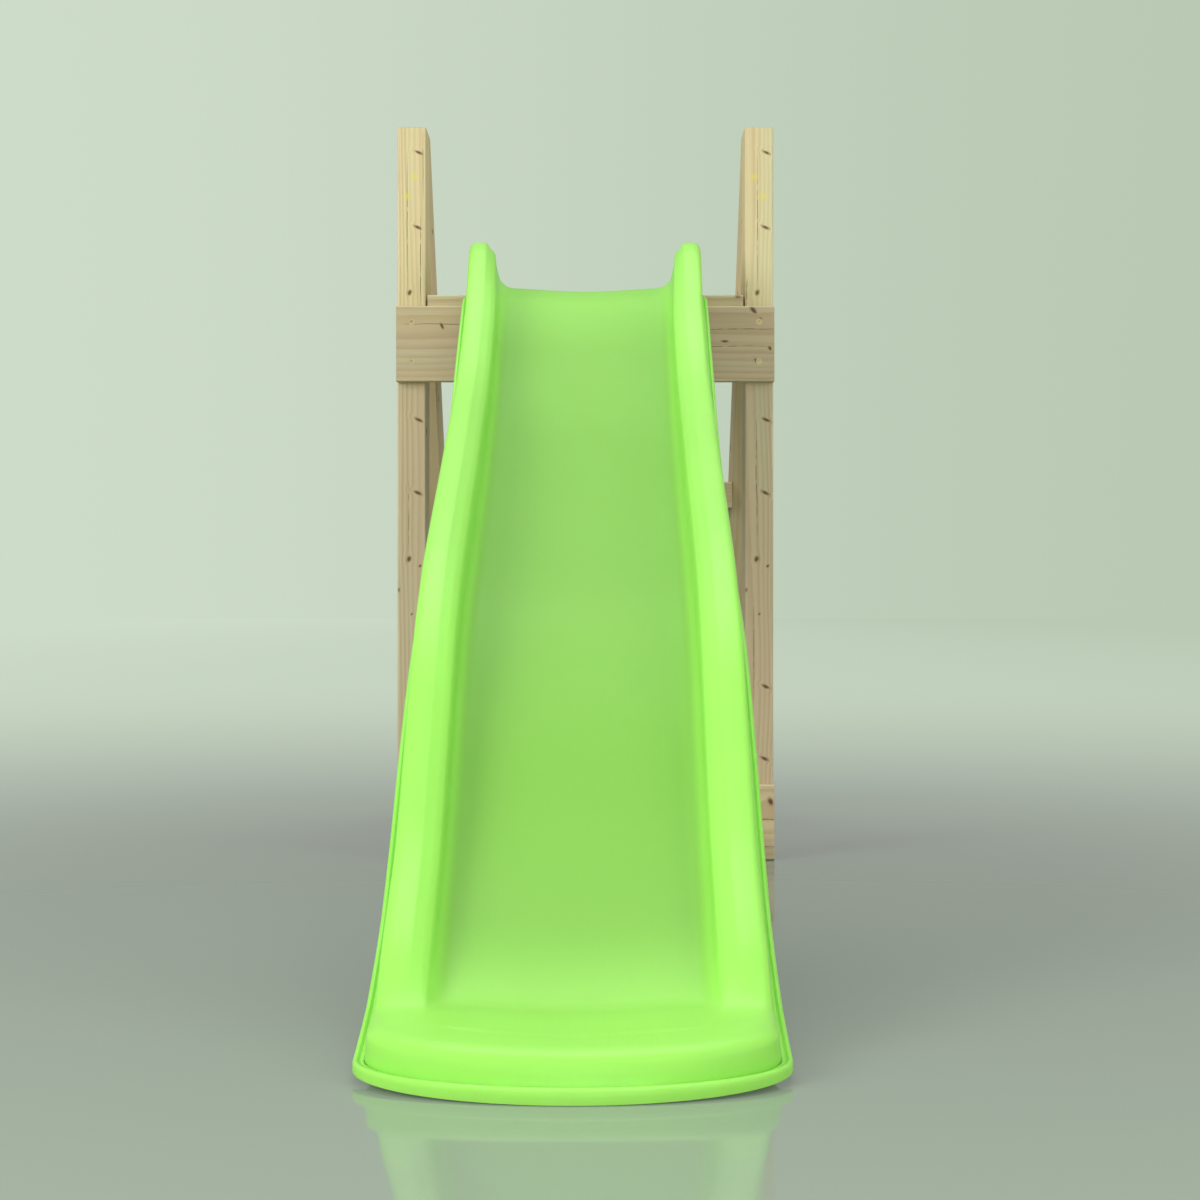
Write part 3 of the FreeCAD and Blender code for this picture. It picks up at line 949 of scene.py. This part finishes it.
    def _leg_knots(self, node: str, seed: int, lean: float) -> tuple[Knot, ...]:
        """Knots up a leaning leg, placed in its own turned axes.

        Args:
            node: the leg.
            seed: the seed.
            lean: the leg's angle from upright.

        Returns:
            The knots.
        """
        pick = random.Random(seed)
        low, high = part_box(node)
        back = high[1] * math.cos(lean)
        foot = -high[1] * math.sin(lean)
        knots = []
        for step in range(12):
            along = foot + 0.06 + 0.105 * step + pick.uniform(-0.03, 0.03)
            sizes = (pick.uniform(0.004, 0.008), pick.uniform(0.0022, 0.0045), pick.uniform(-0.5, 0.5))
            if step % 3:
                side = low[0] if step % 3 == 1 else high[0]
                knots.append(Knot(back - pick.uniform(0.012, 0.083), along, *sizes, side, True))
            else:
                knots.append(Knot(pick.uniform(low[0] + 0.008, high[0] - 0.008), along, *sizes, back))
        return tuple(knots)

    def dress(self) -> Iterable[str]:
        """Give every timber its finish.

        Returns:
            The dressed nodes' names.
        """
        for node, finish in (*self._posts(), *self._boards(), *self._legs(), *self._deck_and_treads()):
            low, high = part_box(node)
            paint(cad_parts[node], finish.build(self.effects, low, high))
            yield node


@dataclass
class Fixings:
    """All the screws."""

    effects: SharedEffects
    nodes: tuple[str, ...] = ("front_board_screws", "front_foot_screws", "deck_screws", "bearer_screws",
                              "tread_screws", "leg_screws", "slide_screws")

    def dress(self) -> Iterable[str]:
        """Plate every screw.

        Returns:
            The dressed nodes' names.
        """
        plating = YellowZinc().build(self.effects)
        for node in self.nodes:
            paint(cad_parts[node], plating)
            yield node


def paint(piece: bpy.types.Object, material: bpy.types.Material) -> None:
    """Put one material in all of a piece's slots.

    Args:
        piece: the object.
        material: its new finish.
    """
    if not piece.material_slots:
        piece.data.materials.append(material)
    for slot in piece.material_slots:
        slot.material = material


# ------------------------------------------------------------------ the chute
def ramp(value: float, start: float, end: float) -> float:
    """Straight ramp from 0 at start to 1 at end, level beyond both."""
    return min(max((value - start) / (end - start), 0.0), 1.0)


@dataclass(frozen=True)
class Station:
    """One place along the wave: how far ahead and how high, as shares, then heights above the flange."""

    ahead: float
    level: float
    bed: float
    crest: float
    lower: float


@dataclass(frozen=True)
class RunOut:
    """One place on the run-out: its share of the reach, and heights above the floor in millimetres.

    landing is how far the rails' ends still stand above the deck.
    """

    ahead: float
    flange: float
    deck: float
    lower: float
    landing: float = 0.0


class Datum(Enum):
    """What the height of a section line is measured from."""

    FLANGE = "the flange's upper face"
    WALL = "a share of the outer wall"
    CREST = "the rail's crest"
    INNER = "a share of the inner wall"
    BED = "the bed"


@dataclass(frozen=True)
class Column:
    """One lengthwise line of the rail's section, from the flange's edge inwards, in millimetres.

    side is its distance in from the flange's edge along the sides, and front the same round the nose.
    nose is its height from the rim at the very front, on the lines outside the roll.
    """

    side: float
    front: float
    datum: Datum
    height: float
    nose: float | None = None


def section_lines() -> tuple[Column, ...]:
    """The rail's section, line by line, from the flange's edge to the bed.

    Returns:
        The lines.
    """
    lines = (
        (Datum.FLANGE, ((0.0, 0.0, -2.4, -6.4), (0.4, 0.8, -1.0, -3.4), (1.3, 2.4, 0.0, -1.2),
                        (3.2, 6.0, 0.2, -0.1), (4.4, 8.6, -0.2, 0.0), (5.2, 9.8, -1.5, -0.3),
                        (6.4, 10.8, -1.6, -0.8), (7.2, 11.8, -0.4, -1.6), (9.6, 12.8, -0.4, -3.4),
                        (10.6, 13.6, -2.2, -5.8), (12.0, 14.4, -2.9, -7.0))),
        (Datum.WALL, ((12.8, 15.0, 0.02, -6.6), (13.2, 15.8, 0.25), (13.6, 17.2, 0.70))),
        (Datum.CREST, ((13.9, 18.8, -9.0), (14.4, 20.4, -5.4), (16.2, 23.0, -2.4), (19.4, 26.4, -0.7),
                       (25.0, 30.4, 0.0), (34.0, 36.0, 0.0), (39.4, 39.6, -0.3), (41.6, 42.2, -1.5),
                       (49.4, 47.0, -5.9), (56.6, 51.4, -9.9), (58.0, 53.2, -12.8))),
        (Datum.INNER, ((59.6, 55.0, 0.50), (61.2, 57.0, 0.0))),
        (Datum.BED, ((64.0, 59.5, 8.8), (68.0, 61.6, 4.4), (72.4, 63.6, 1.7), (77.4, 65.8, 0.35),
                     (82.0, 67.6, 0.0))))
    return tuple(Column(side, front, datum, *rest) for datum, rows in lines for side, front, *rest in rows)


@dataclass
class WaveChute:
    """The one-piece moulded chute: rails, bed, flanges, run-out deck and rolled nose, in millimetres."""

    effects: SharedEffects
    reach: float = 1500.0
    wave: tuple[Station, ...] = (
        Station(0.0120, 0.9989, 8.0, 80.0, -20.0), Station(0.0347, 0.9899, 6.0, 81.0, -28.0),
        Station(0.0600, 0.9708, 4.0, 79.0, -31.0), Station(0.1667, 0.8273, 15.0, 86.0, -21.0),
        Station(0.2547, 0.7074, 24.0, 98.0, -14.0), Station(0.3467, 0.6110, 33.0, 110.0, -8.0),
        Station(0.4667, 0.5011, 38.0, 115.0, -6.0), Station(0.5667, 0.4215, 36.0, 110.0, -6.0),
        Station(0.6200, 0.3655, 36.0, 114.0, -6.0), Station(0.6813, 0.2814, 36.0, 116.0, -7.0),
        Station(0.7467, 0.1805, 30.0, 98.0, -8.0), Station(0.8000, 0.1099, 28.0, 78.0, -8.0),
        Station(0.8687, 0.0516, 17.0, 54.0, -10.0), Station(0.8933, 0.0381, 14.0, 32.0, -12.0))
    run_out: tuple[RunOut, ...] = (
        RunOut(0.9050, 29.5, 47.6, 18.0, 4.6), RunOut(0.9200, 23.5, 46.5, 11.0, 0.9),
        RunOut(0.9333, 18.5, 45.5, 4.0, 0.1), RunOut(0.9500, 14.5, 44.0, 0.0), RunOut(0.9600, 13.5, 43.0, 0.0),
        RunOut(0.9700, 13.0, 41.4, 0.0), RunOut(0.9800, 13.0, 39.2, 0.0), RunOut(1.0000, 13.0, 33.0, 0.0))
    columns: tuple[Column, ...] = field(default_factory=section_lines)

    # the nose and the run-out's shoulders
    rim: float = 13.0
    nose_round: float = 92.0
    roll_height: float = 34.0
    roll_length: float = 36.0
    roll_from: float = 15.0
    roll_soft: float = 5.5
    shoulder: float = 24.0
    shoulder_shares: tuple[float, float] = (0.922, 0.956)
    shoulder_clear: float = 2.0

    # the side flanges and their underside
    flange: float = 5.0
    flange_shares: tuple[float, float] = (0.048, 0.036)
    flange_solid: tuple[float, float] = (0.93, 0.95)
    wall_foot: float = 12.8
    wall_line: float = 13.6

    # the rails: how their rounding shrinks with height, and where their walls meet the rest
    end_round: float = 22.0
    wall_head: float = 14.0
    wall_share: float = 0.7
    crest_middle: float = 33.0
    outer_full: float = 26.0
    inner_full: float = 34.0
    inner_drop: float = 12.8
    inner_rise: float = 13.0
    soft_shares: tuple[float, float] = (0.110, 0.030)
    soft_inner: tuple[float, float, float] = (7.0, 36.0, 22.0)
    soft_outer: tuple[float, float, float] = (4.0, 25.0, 11.0)

    # flares: the rails stand wider at the deck, and the outer wall at the nose
    rail_flare: float = 6.0
    flare_run: float = 200.0
    bevel_lines: tuple[float, float] = (45.0, 60.5)
    bevel_flare: float = 1.75
    corner_lines: tuple[float, float] = (62.0, 82.0)
    nose_flare: float = 2.6
    nose_flare_shares: tuple[float, float] = (0.80, 0.94)
    outer_lines: float = 17.0

    # the bed's hollow, and how it runs out over the nose
    dish: float = 5.0
    dish_power: float = 1.5
    level_height: float = 47.0
    level_turn: float = 0.924
    level_slopes: tuple[float, float] = (32.6, 14.0)
    level_soft: float = 2.4
    level_soft_run: float = 0.03

    # the lower skin and its cross ribs
    under_edge: float = 14.0
    under_blend: float = 6.0
    skin_room: float = 12.0
    rib_deep: float = 9.0
    rib_pitch: float = 95.0
    rib_sides: tuple[float, float] = (26.0, 36.0)
    rib_shape: tuple[float, float] = (0.35, 0.65)
    rib_head: tuple[float, float] = (0.03, 0.05)
    rib_foot: tuple[float, float] = (0.90, 0.87)
    thinnest: float = 1.2

    # the lip on the deck
    lip: float = 45.0
    lip_thick: float = 4.4
    lip_gap: float = 0.4
    lip_half: float = 128.0
    lip_corner: float = 14.0
    lip_lines: int = 5

    # the mesh
    arc_steps: int = 44
    nose_steps: int = 4
    row_step: float = 9.0
    sharp_angle: float = 58.0

    def __post_init__(self) -> None:
        """Take places and widths from the frame."""
        low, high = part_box("slide_chute")
        board_low, board_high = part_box("front_board")
        self.half = (high[0] - low[0]) / MM / 2.0
        self.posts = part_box("front_post_left")[0][1] / MM
        self.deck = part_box("deck_board_front")[1][2] / MM
        self.start = self.posts - (board_high[1] - board_low[1]) / MM
        self.tip = self.posts - self.reach
        self.side_end = self.tip + self.nose_round
        self.bm = bmesh.new()

    # -- the wave's lines
    def _blend_rows(self, rows: Sequence[Sequence[float]], u: float) -> list[float]:
        """Smooth values between listed rows, by their first number.

        Args:
            rows: rows in rising order of their first number.
            u: where to read.

        Returns:
            The row's other numbers at u.
        """
        last = len(rows) - 1
        i = max(k for k in range(last) if k == 0 or rows[k][0] <= u)
        a, b = rows[i], rows[i + 1]
        span = b[0] - a[0]
        t = ramp(u, a[0], b[0])

        def slope(k: int, c: int) -> float:
            """Slope of number c at row k, over this span."""
            p, q = rows[max(k - 1, 0)], rows[min(k + 1, last)]
            return (q[c] - p[c]) / (q[0] - p[0]) * span

        return [(2 * t**3 - 3 * t**2 + 1) * a[c] + (t**3 - 2 * t**2 + t) * slope(i, c)
                + (3 * t**2 - 2 * t**3) * b[c] + (t**3 - t**2) * slope(i + 1, c) for c in range(1, len(a))]

    def lines(self, u: float) -> tuple[float, float, float, float]:
        """The wave's four lines.

        Args:
            u: share of the reach.

        Returns:
            Heights of the flange, the bed, the crest and the lower skin.
        """
        rows = []
        for s in self.wave:
            level = s.level * self.deck
            rows.append((s.ahead, level, level + s.bed, level + s.crest, level + s.lower))
        rows += [(r.ahead, r.flange, r.deck, r.deck + r.landing, r.lower) for r in self.run_out]
        flange, bed, crest, low = self._blend_rows(rows, u)
        return flange, bed, max(crest, bed), max(low, 0.0)

    def _rail_end(self, y: float) -> float:
        """How far the rail's crest drops at its rounded top end.

        Args:
            y: place front to back.

        Returns:
            The drop.
        """
        into = y - (self.start - self.end_round)
        if into <= 0:
            return 0.0
        return self.end_round - math.sqrt(max(self.end_round**2 - min(into, self.end_round) ** 2, 0.0))

    def _dished(self, u: float, x: float, height: float) -> float:
        """Lower a height to the bed's hollow, which runs out over the nose.

        Args:
            u: share of the reach.
            x: place across.
            height: the surface's height without the hollow.

        Returns:
            The height.
        """
        across = min(abs(x) / (self.half - self.columns[-1].side), 1.0)
        hollow = self.dish * (1.0 - across**2) ** self.dish_power
        rails_end = self.wave[-1].ahead
        if u <= rails_end:
            return height - hollow
        before, beyond = self.level_slopes
        past = u - self.level_turn
        level = self.level_height + before * max(-past, 0.0) - beyond * max(past, 0.0)
        gap = level - hollow - height
        soft = self.level_soft * (1.0 - across**2) * min((u - rails_end) / self.level_soft_run, 1.0)
        return height + (gap - math.hypot(gap, soft)) / 2.0

    def _column_height(self, column: Column, u: float, drop: float) -> float:
        """Height of one section line where the rails run straight.

        Args:
            column: the section's line.
            u: share of the reach.
            drop: how far the crest is lowered by the rail's rounded end.

        Returns:
            The height.
        """
        flange, bed, crest, _ = self.lines(u)
        crest = max(crest - drop, bed + 1.0) if drop else crest
        wall, rail = crest - flange, crest - bed
        shoulder = self.shoulder * ramp(u, *self.shoulder_shares)
        low_rail = min(1.0, rail / self.inner_full)
        if column.datum is Datum.FLANGE:
            return flange + column.height
        if column.datum is Datum.WALL:
            head = max(min(self.wall_head, self.wall_share * wall), min(shoulder, wall - self.shoulder_clear))
            return flange + (wall - head) * column.height
        if column.datum is Datum.CREST:
            return self._crest_height(column, u, crest, wall, rail, shoulder)
        if column.datum is Datum.INNER:
            top = crest - self.inner_drop * low_rail
            foot = bed + self.inner_rise * low_rail
            return foot + (top - foot) * column.height
        return bed + column.height * low_rail

    def _crest_height(self, column: Column, u: float, crest: float, wall: float, rail: float,
                      shoulder: float) -> float:
        """Height of a line on the rail's crest, rounded over at the top end and along the run-out.

        Args:
            column: the section's line.
            u: share of the reach.
            crest: the crest's height.
            wall: height of the outer wall.
            rail: height of the inner wall.
            shoulder: radius of the run-out's edge.

        Returns:
            The height.
        """
        outer = column.side < self.crest_middle
        squeeze = min(1.0, max(wall if outer else rail, 0.0) / (self.outer_full if outer else self.inner_full))
        left = max(shoulder - (column.side - self.wall_line), 0.0)
        fall = shoulder - math.sqrt(max(shoulder**2 - left**2, 0.0))
        deep_in, from_in, run_in = self.soft_inner
        deep_out, from_out, run_out = self.soft_outer
        ease = (deep_in * max((column.side - from_in) / run_in, 0.0) ** 2
                + deep_out * max((from_out - column.side) / run_out, 0.0) ** 2)
        return min(crest + column.height * squeeze - ease * ramp(u, *self.soft_shares), crest - fall)

    def _front_height(self, column: Column) -> float:
        """Height of one section line at the very front of the nose.

        Args:
            column: the section's line.

        Returns:
            The height.
        """
        if column.nose is not None:
            return self.rim + column.nose
        back = min(column.front - self.roll_from, self.roll_length)
        turn = math.acos(max(1.0 - back / self.roll_length, 0.0))
        roll = self.rim + self.roll_height * math.sin(turn)
        deck = self.lines((self.reach - column.front) / self.reach)[2]
        return roll + (deck - roll - math.hypot(deck - roll, self.roll_soft)) / 2.0

    # -- places
    def _share(self, y: float) -> float:
        """Share of the reach at a place."""
        return (self.posts - y) / self.reach

    def _row_places(self) -> list[float]:
        """Places of the rows along the straight part, closer together at the rails' rounded ends."""
        close = [self.start - self.end_round * (1 - math.cos(math.radians(a))) for a in range(0, 90, 10)]
        rest_from = self.start - self.end_round
        count = math.ceil((rest_from - self.side_end) / self.row_step)
        return close + [rest_from + (self.side_end - rest_from) * k / count for k in range(count + 1)]

    def _inset(self, column: Column, u: float) -> float:
        """Distance of a section line from the flange's edge, which ends short of the chute's top.

        Args:
            column: the section's line.
            u: share of the reach.

        Returns:
            The distance.
        """
        narrow = ramp(u, *self.flange_shares)
        side = column.side + narrow * max(self.wall_foot - column.side, 0.0)
        flare = max(1.0 - (u - self.wave[0].ahead) * self.reach / self.flare_run, 0.0) * self.rail_flare
        if column.datum is Datum.FLANGE:
            return side - narrow * flare
        foot = ramp(u, *self.nose_flare_shares) * self.nose_flare if column.side < self.outer_lines else 0.0
        if self.bevel_lines[0] < column.side < self.bevel_lines[1]:
            flare *= self.bevel_flare
        corner, bed = self.corner_lines
        if column.side >= corner:
            flare *= max(bed - column.side, 0.0) / (bed - corner)
        return side - flare - foot

    def _underside(self, side: float, u: float, y: float) -> float:
        """Height of the lower skin, with the flange's underside at its edge and shallow cross ribs.

        Args:
            side: distance in from the flange's edge.
            u: share of the reach.
            y: place front to back.

        Returns:
            The height.
        """
        flange, bed, _, low = self.lines(u)
        thick = self.flange + (self.rim - self.flange) * ramp(u, *self.flange_solid)
        edge = max(flange - thick, 0.0)
        if side < self.under_edge:
            return edge
        low = min(low, edge)
        blend = ramp(side, self.under_edge, self.under_edge + self.under_blend)
        wave = 0.5 - 0.5 * math.cos(2 * math.pi * (y - self.start) / self.rib_pitch)
        fade = ramp(u, *self.rib_foot) * ramp(u, *self.rib_head) * ramp(side, *self.rib_sides)
        rib = min(self.rib_deep, max(bed - low - self.skin_room, 0.0)) * fade * ramp(wave, *self.rib_shape)
        return edge + (low - edge) * blend + rib

    # -- the mesh
    def _vert(self, x: float, y: float, z: float) -> bmesh.types.BMVert:
        """Add a vertex given in millimetres."""
        return self.bm.verts.new((x * MM, y * MM, z * MM))

    def _rail_lines(self, rows: Sequence[float], angles: Sequence[float]) -> tuple[list, list]:
        """Run every section line down the left side, round the nose and up the right side.

        Args:
            rows: places of the rows along the sides.
            angles: turns round the nose.

        Returns:
            The upper lines and the lower lines, as lists of vertices.
        """
        top, under = [], []
        path = [(-1, y) for y in rows] + [(0, a) for a in angles[1:-1]] + [(1, y) for y in reversed(rows)]
        last = self._share(self.side_end)
        for column in self.columns:
            line_top, line_under = [], []
            for side, value in path:
                if side:
                    u = self._share(value)
                    x, y = (self.half - self._inset(column, u)) * side, value
                    z = self._column_height(column, u, self._rail_end(value))
                    low = min(self._underside(column.side, u, value), z - self.thinnest)
                else:
                    ahead = math.sin(value)
                    x = -(self.half - self._inset(column, last)) * math.cos(value)
                    y = self.side_end - (self.nose_round - column.front) * ahead
                    at_side = self._column_height(column, last, 0.0)
                    z = at_side + (self._front_height(column) - at_side) * ahead
                    if column.nose is None:
                        z = self._dished(self._share(y), x, z)
                    low = self._underside(column.side, last, self.side_end) * (1.0 - ahead)
                line_top.append(self._vert(x, y, z))
                line_under.append(self._vert(x, y, low))
            top.append(line_top)
            under.append(line_under)
        return top, under

    def _bed_rows(self, rows: Sequence[float], angles: Sequence[float], top: list,
                  under: list) -> tuple[list, list]:
        """Fill in the bed between the rails' innermost lines, and on into the nose.

        Args:
            rows: places of the rows along the sides.
            angles: turns round the nose, which also space the vertices across.
            top: the rails' upper lines.
            under: the rails' lower lines.

        Returns:
            The upper rows and the lower rows, as lists of vertices.
        """
        inner = self.columns[-1]
        bed_half = self.half - inner.side
        bed_top, bed_under = [], []
        for r, y in enumerate(rows):
            u = self._share(y)
            line_top, line_under = [top[-1][r]], [under[-1][r]]
            for a in angles[1:-1]:
                x = -bed_half * math.cos(a)
                line_top.append(self._vert(x, y, self._dished(u, x, self.lines(u)[1])))
                line_under.append(self._vert(x, y, self._underside(self.half - abs(x), u, y)))
            bed_top.append(line_top + [top[-1][-1 - r]])
            bed_under.append(line_under + [under[-1][-1 - r]])
        last_top, last_under = bed_top[-1], bed_under[-1]
        reach = self.nose_round - inner.front
        for s in range(1, self.nose_steps):
            line_top, line_under = [last_top[0]], [last_under[0]]
            for a in angles[1:-1]:
                x = -bed_half * math.cos(a)
                y = self.side_end - reach * math.sin(a) * s / self.nose_steps
                u = self._share(y)
                line_top.append(self._vert(x, y, self._dished(u, x, self.lines(u)[1])))
                line_under.append(self._vert(x, y, 0.0))
            bed_top.append(line_top + [last_top[-1]])
            bed_under.append(line_under + [last_under[-1]])
        first, last = len(rows), len(rows) + len(angles) - 2
        bed_top.append([last_top[0], *top[-1][first:last], last_top[-1]])
        bed_under.append([last_under[0], *under[-1][first:last], last_under[-1]])
        return bed_top, bed_under

    def _skin(self, lines: Sequence[Sequence[bmesh.types.BMVert]], flip: bool) -> None:
        """Join neighbouring lines of vertices with faces.

        Args:
            lines: the lines, all of one length.
            flip: turn the faces over.
        """
        for a, b in zip(lines, lines[1:]):
            for k in range(len(a) - 1):
                corners = list(dict.fromkeys((a[k], b[k], b[k + 1], a[k + 1])))
                if len(corners) > 2:
                    self.bm.faces.new(corners if flip else corners[::-1])

    def build_mesh(self) -> bpy.types.Object:
        """Build the closed skin.

        Returns:
            The chute's object.
        """
        rows = self._row_places()
        angles = [math.pi * j / self.arc_steps for j in range(self.arc_steps + 1)]
        top, under = self._rail_lines(rows, angles)
        bed_top, bed_under = self._bed_rows(rows, angles, top, under)
        for lines, flip in ((top, False), (under, True), (bed_top, False), (bed_under, True)):
            self._skin(lines, flip)
        self._skin((top[0], under[0]), False)
        upper = [line[0] for line in top[:-1]] + bed_top[0] + [line[-1] for line in top[-2::-1]]
        lower = [line[0] for line in under[:-1]] + bed_under[0] + [line[-1] for line in under[-2::-1]]
        self._close_top_end(upper, lower)
        bmesh.ops.recalc_face_normals(self.bm, faces=self.bm.faces)
        mesh = bpy.data.meshes.new("wave_chute")
        self.bm.to_mesh(mesh)
        self.bm.free()
        mesh.shade_smooth()
        mesh.set_sharp_from_angle(angle=math.radians(self.sharp_angle))
        chute = bpy.data.objects.new("wave_chute", mesh)
        bpy.context.scene.collection.objects.link(chute)
        return chute

    def _close_top_end(self, upper: list, lower: list) -> None:
        """Add the lip that lies on the deck, and the wall below it.

        Args:
            upper: the skin's upper vertices across the top end, left to right.
            lower: the lower ones.
        """
        first = len(self.columns) - self.lip_lines
        last = len(upper) - 1 - first
        far_top, far_under, under_lip = {}, {}, {}
        for k in range(first, last + 1):
            x = upper[k].co.x / MM
            back = self.posts + self.lip - self.lip_corner * (abs(x) / self.lip_half) ** 8
            under_lip[k] = self._vert(x, self.start, self.deck + self.lip_gap)
            far_top[k] = self._vert(x, back, self.deck + self.lip_thick)
            far_under[k] = self._vert(x, back, self.deck + self.lip_gap)
        around = (upper, far_top, far_under, under_lip, lower)
        for k in range(len(upper) - 1):
            if first <= k < last:
                for a, b in zip(around, around[1:]):
                    self.bm.faces.new((a[k], a[k + 1], b[k + 1], b[k]))
            else:
                before = [under_lip[first]] if k + 1 == first else []
                after = [under_lip[last]] if k == last else []
                self.bm.faces.new((upper[k], upper[k + 1], *before, lower[k + 1], lower[k], *after))
        for k, turn in ((first, 1), (last, -1)):
            self.bm.faces.new((upper[k], far_top[k], far_under[k], under_lip[k])[::turn])

    def dress(self) -> Iterable[str]:
        """Build the chute, give it its plastic and put it in place of the plain one.

        Returns:
            The piece's name.
        """
        chute = self.build_mesh()
        paint(chute, ChutePlastic().build(self.effects))
        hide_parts("slide_chute")
        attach(chute, "root")
        yield chute.name


# ------------------------------------------------------------------ studio
@dataclass
class Studio:
    """Pale floor, soft lights and the camera."""

    field_of_view: float = 34.4
    distance: float = 3.067
    eye_height: float = 0.409
    eye_right: float = 0.0232
    backdrop_left: Colour = (0.613, 0.712, 0.585)
    backdrop_right: Colour = (0.490, 0.584, 0.455)
    surround: Colour = (0.80, 0.82, 0.80)
    surround_strength: float = 0.50
    floor_near: Colour = (0.262, 0.322, 0.248)
    floor_half: float = 40.0
    floor_drop: float = 0.0005
    floor_rough: tuple[float, float] = (0.60, 0.06)
    aim: tuple[float, float, float] = (0.0, 0.0, 0.5)
    # each light: place, size, power
    lights: tuple[tuple[str, tuple[float, float, float], float, float], ...] = (
        ("left_softbox", (-3.0, -2.6, 2.0), 2.2, 108.0), ("right_softbox", (3.2, -2.2, 1.9), 2.2, 40.0),
        ("overhead", (0.0, 0.4, 3.8), 2.6, 50.0), ("front_fill", (0.4, -4.2, 1.0), 1.8, 38.0))

    def build(self) -> None:
        """Set up floor, world, lights and camera."""
        self._floor()
        self._world()
        for light in self.lights:
            self._light(*light)
        self._camera()

    def _backdrop(self, g: Graph, place: Socket, reach: float) -> Socket:
        """The backdrop's colour, a little darker to the right.

        Args:
            g: the graph it is built in.
            place: the point to colour.
            reach: how far to each side the change runs.

        Returns:
            A colour socket.
        """
        x, _, _ = g.split(place)
        return g.mix(g.step(x, -reach, reach), self.backdrop_left, self.backdrop_right)

    def _floor(self) -> None:
        """A wide pale floor, glossy at a low angle, that fades into the backdrop far off."""
        mesh = bpy.data.meshes.new("floor")
        bm = bmesh.new()
        bmesh.ops.create_grid(bm, x_segments=8, y_segments=8, size=self.floor_half)
        bm.to_mesh(mesh)
        bm.free()
        floor = bpy.data.objects.new("floor", mesh)
        floor.location.z = -self.floor_drop
        bpy.context.scene.collection.objects.link(floor)
        material, g = new_material("pale_floor")
        place = g.node("ShaderNodeTexCoord").outputs["Object"]
        far = g.step(g.div(1.0, g.add(g.vector("LENGTH", place), 2.7)), 0.30, 0.10)
        near = g.node("ShaderNodeBsdfPrincipled")
        near.inputs["Base Color"].default_value = (*self.floor_near, 1.0)
        grazing = g.step(g.node("ShaderNodeLayerWeight").outputs["Facing"], 0.15, 0.65)
        facing, low = self.floor_rough
        g.feed(near.inputs["Roughness"], g.sub(facing, g.mul(grazing, facing - low)))
        near.inputs["Specular IOR Level"].default_value = 0.48
        glow = g.node("ShaderNodeEmission")
        g.feed(glow.inputs["Color"], self._backdrop(g, place, 9.0))
        blend = g.node("ShaderNodeMixShader")
        g.feed(blend.inputs[0], far)
        g.feed(blend.inputs[1], near.outputs["BSDF"])
        g.feed(blend.inputs[2], glow.outputs["Emission"])
        g.feed(g.node("ShaderNodeOutputMaterial").inputs["Surface"], blend.outputs["Shader"])
        paint(floor, material)

    def _world(self) -> None:
        """A pale backdrop behind, and an even neutral surround that lights the object."""
        world = bpy.data.worlds.new("soft_surround")
        world.use_nodes = True
        g = Graph(world.node_tree)
        way = g.node("ShaderNodeTexCoord").outputs["Generated"]
        seen = g.node("ShaderNodeBackground")
        g.feed(seen.inputs["Color"], self._backdrop(g, way, 0.32))
        lighting = g.node("ShaderNodeBackground")
        lighting.inputs["Color"].default_value = (*self.surround, 1.0)
        lighting.inputs["Strength"].default_value = self.surround_strength
        blend = g.node("ShaderNodeMixShader")
        g.feed(blend.inputs[0], g.node("ShaderNodeLightPath").outputs["Is Camera Ray"])
        g.feed(blend.inputs[1], lighting.outputs["Background"])
        g.feed(blend.inputs[2], seen.outputs["Background"])
        g.feed(g.node("ShaderNodeOutputWorld").inputs["Surface"], blend.outputs["Shader"])
        bpy.context.scene.world = world

    def _light(self, name: str, place: tuple[float, float, float], size: float, power: float) -> None:
        """One square soft light aimed at the object's middle; only the overhead one shows in gloss.

        Args:
            name: its name.
            place: its place, in metres.
            size: length of its side.
            power: its power in watts.
        """
        data = bpy.data.lights.new(name, "AREA")
        data.size = size
        data.energy = power
        light = bpy.data.objects.new(name, data)
        light.location = place
        aim = Vector(self.aim) - Vector(place)
        light.rotation_euler = aim.to_track_quat("-Z", "Y").to_euler()
        light.visible_camera = False
        light.visible_glossy = name == "overhead"
        bpy.context.scene.collection.objects.link(light)

    def _camera(self) -> None:
        """A level camera in front of the nose."""
        data = bpy.data.cameras.new("camera")
        data.sensor_width = 36.0
        data.lens_unit = "FOV"
        data.angle = math.radians(self.field_of_view)
        camera = bpy.data.objects.new("camera", data)
        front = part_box("front_post_left")[0][1]
        camera.location = (self.eye_right, front - self.distance, self.eye_height)
        camera.rotation_euler = (math.radians(90), 0.0, 0.0)
        bpy.context.scene.collection.objects.link(camera)
        bpy.context.scene.camera = camera
        bpy.context.scene.view_settings.view_transform = "Standard"


def main() -> None:
    """Build and dress the slide, sub-assembly by sub-assembly."""
    logging.basicConfig(level=logging.INFO, format="%(name)s: %(message)s")
    effects = SharedEffects()
    for assembly in (TimberFrame(effects), Fixings(effects), WaveChute(effects)):
        for piece in assembly.dress():
            LOG.info("%s dressed %s", type(assembly).__name__, piece)
    Studio().build()


if __name__ == "__main__":
    main()
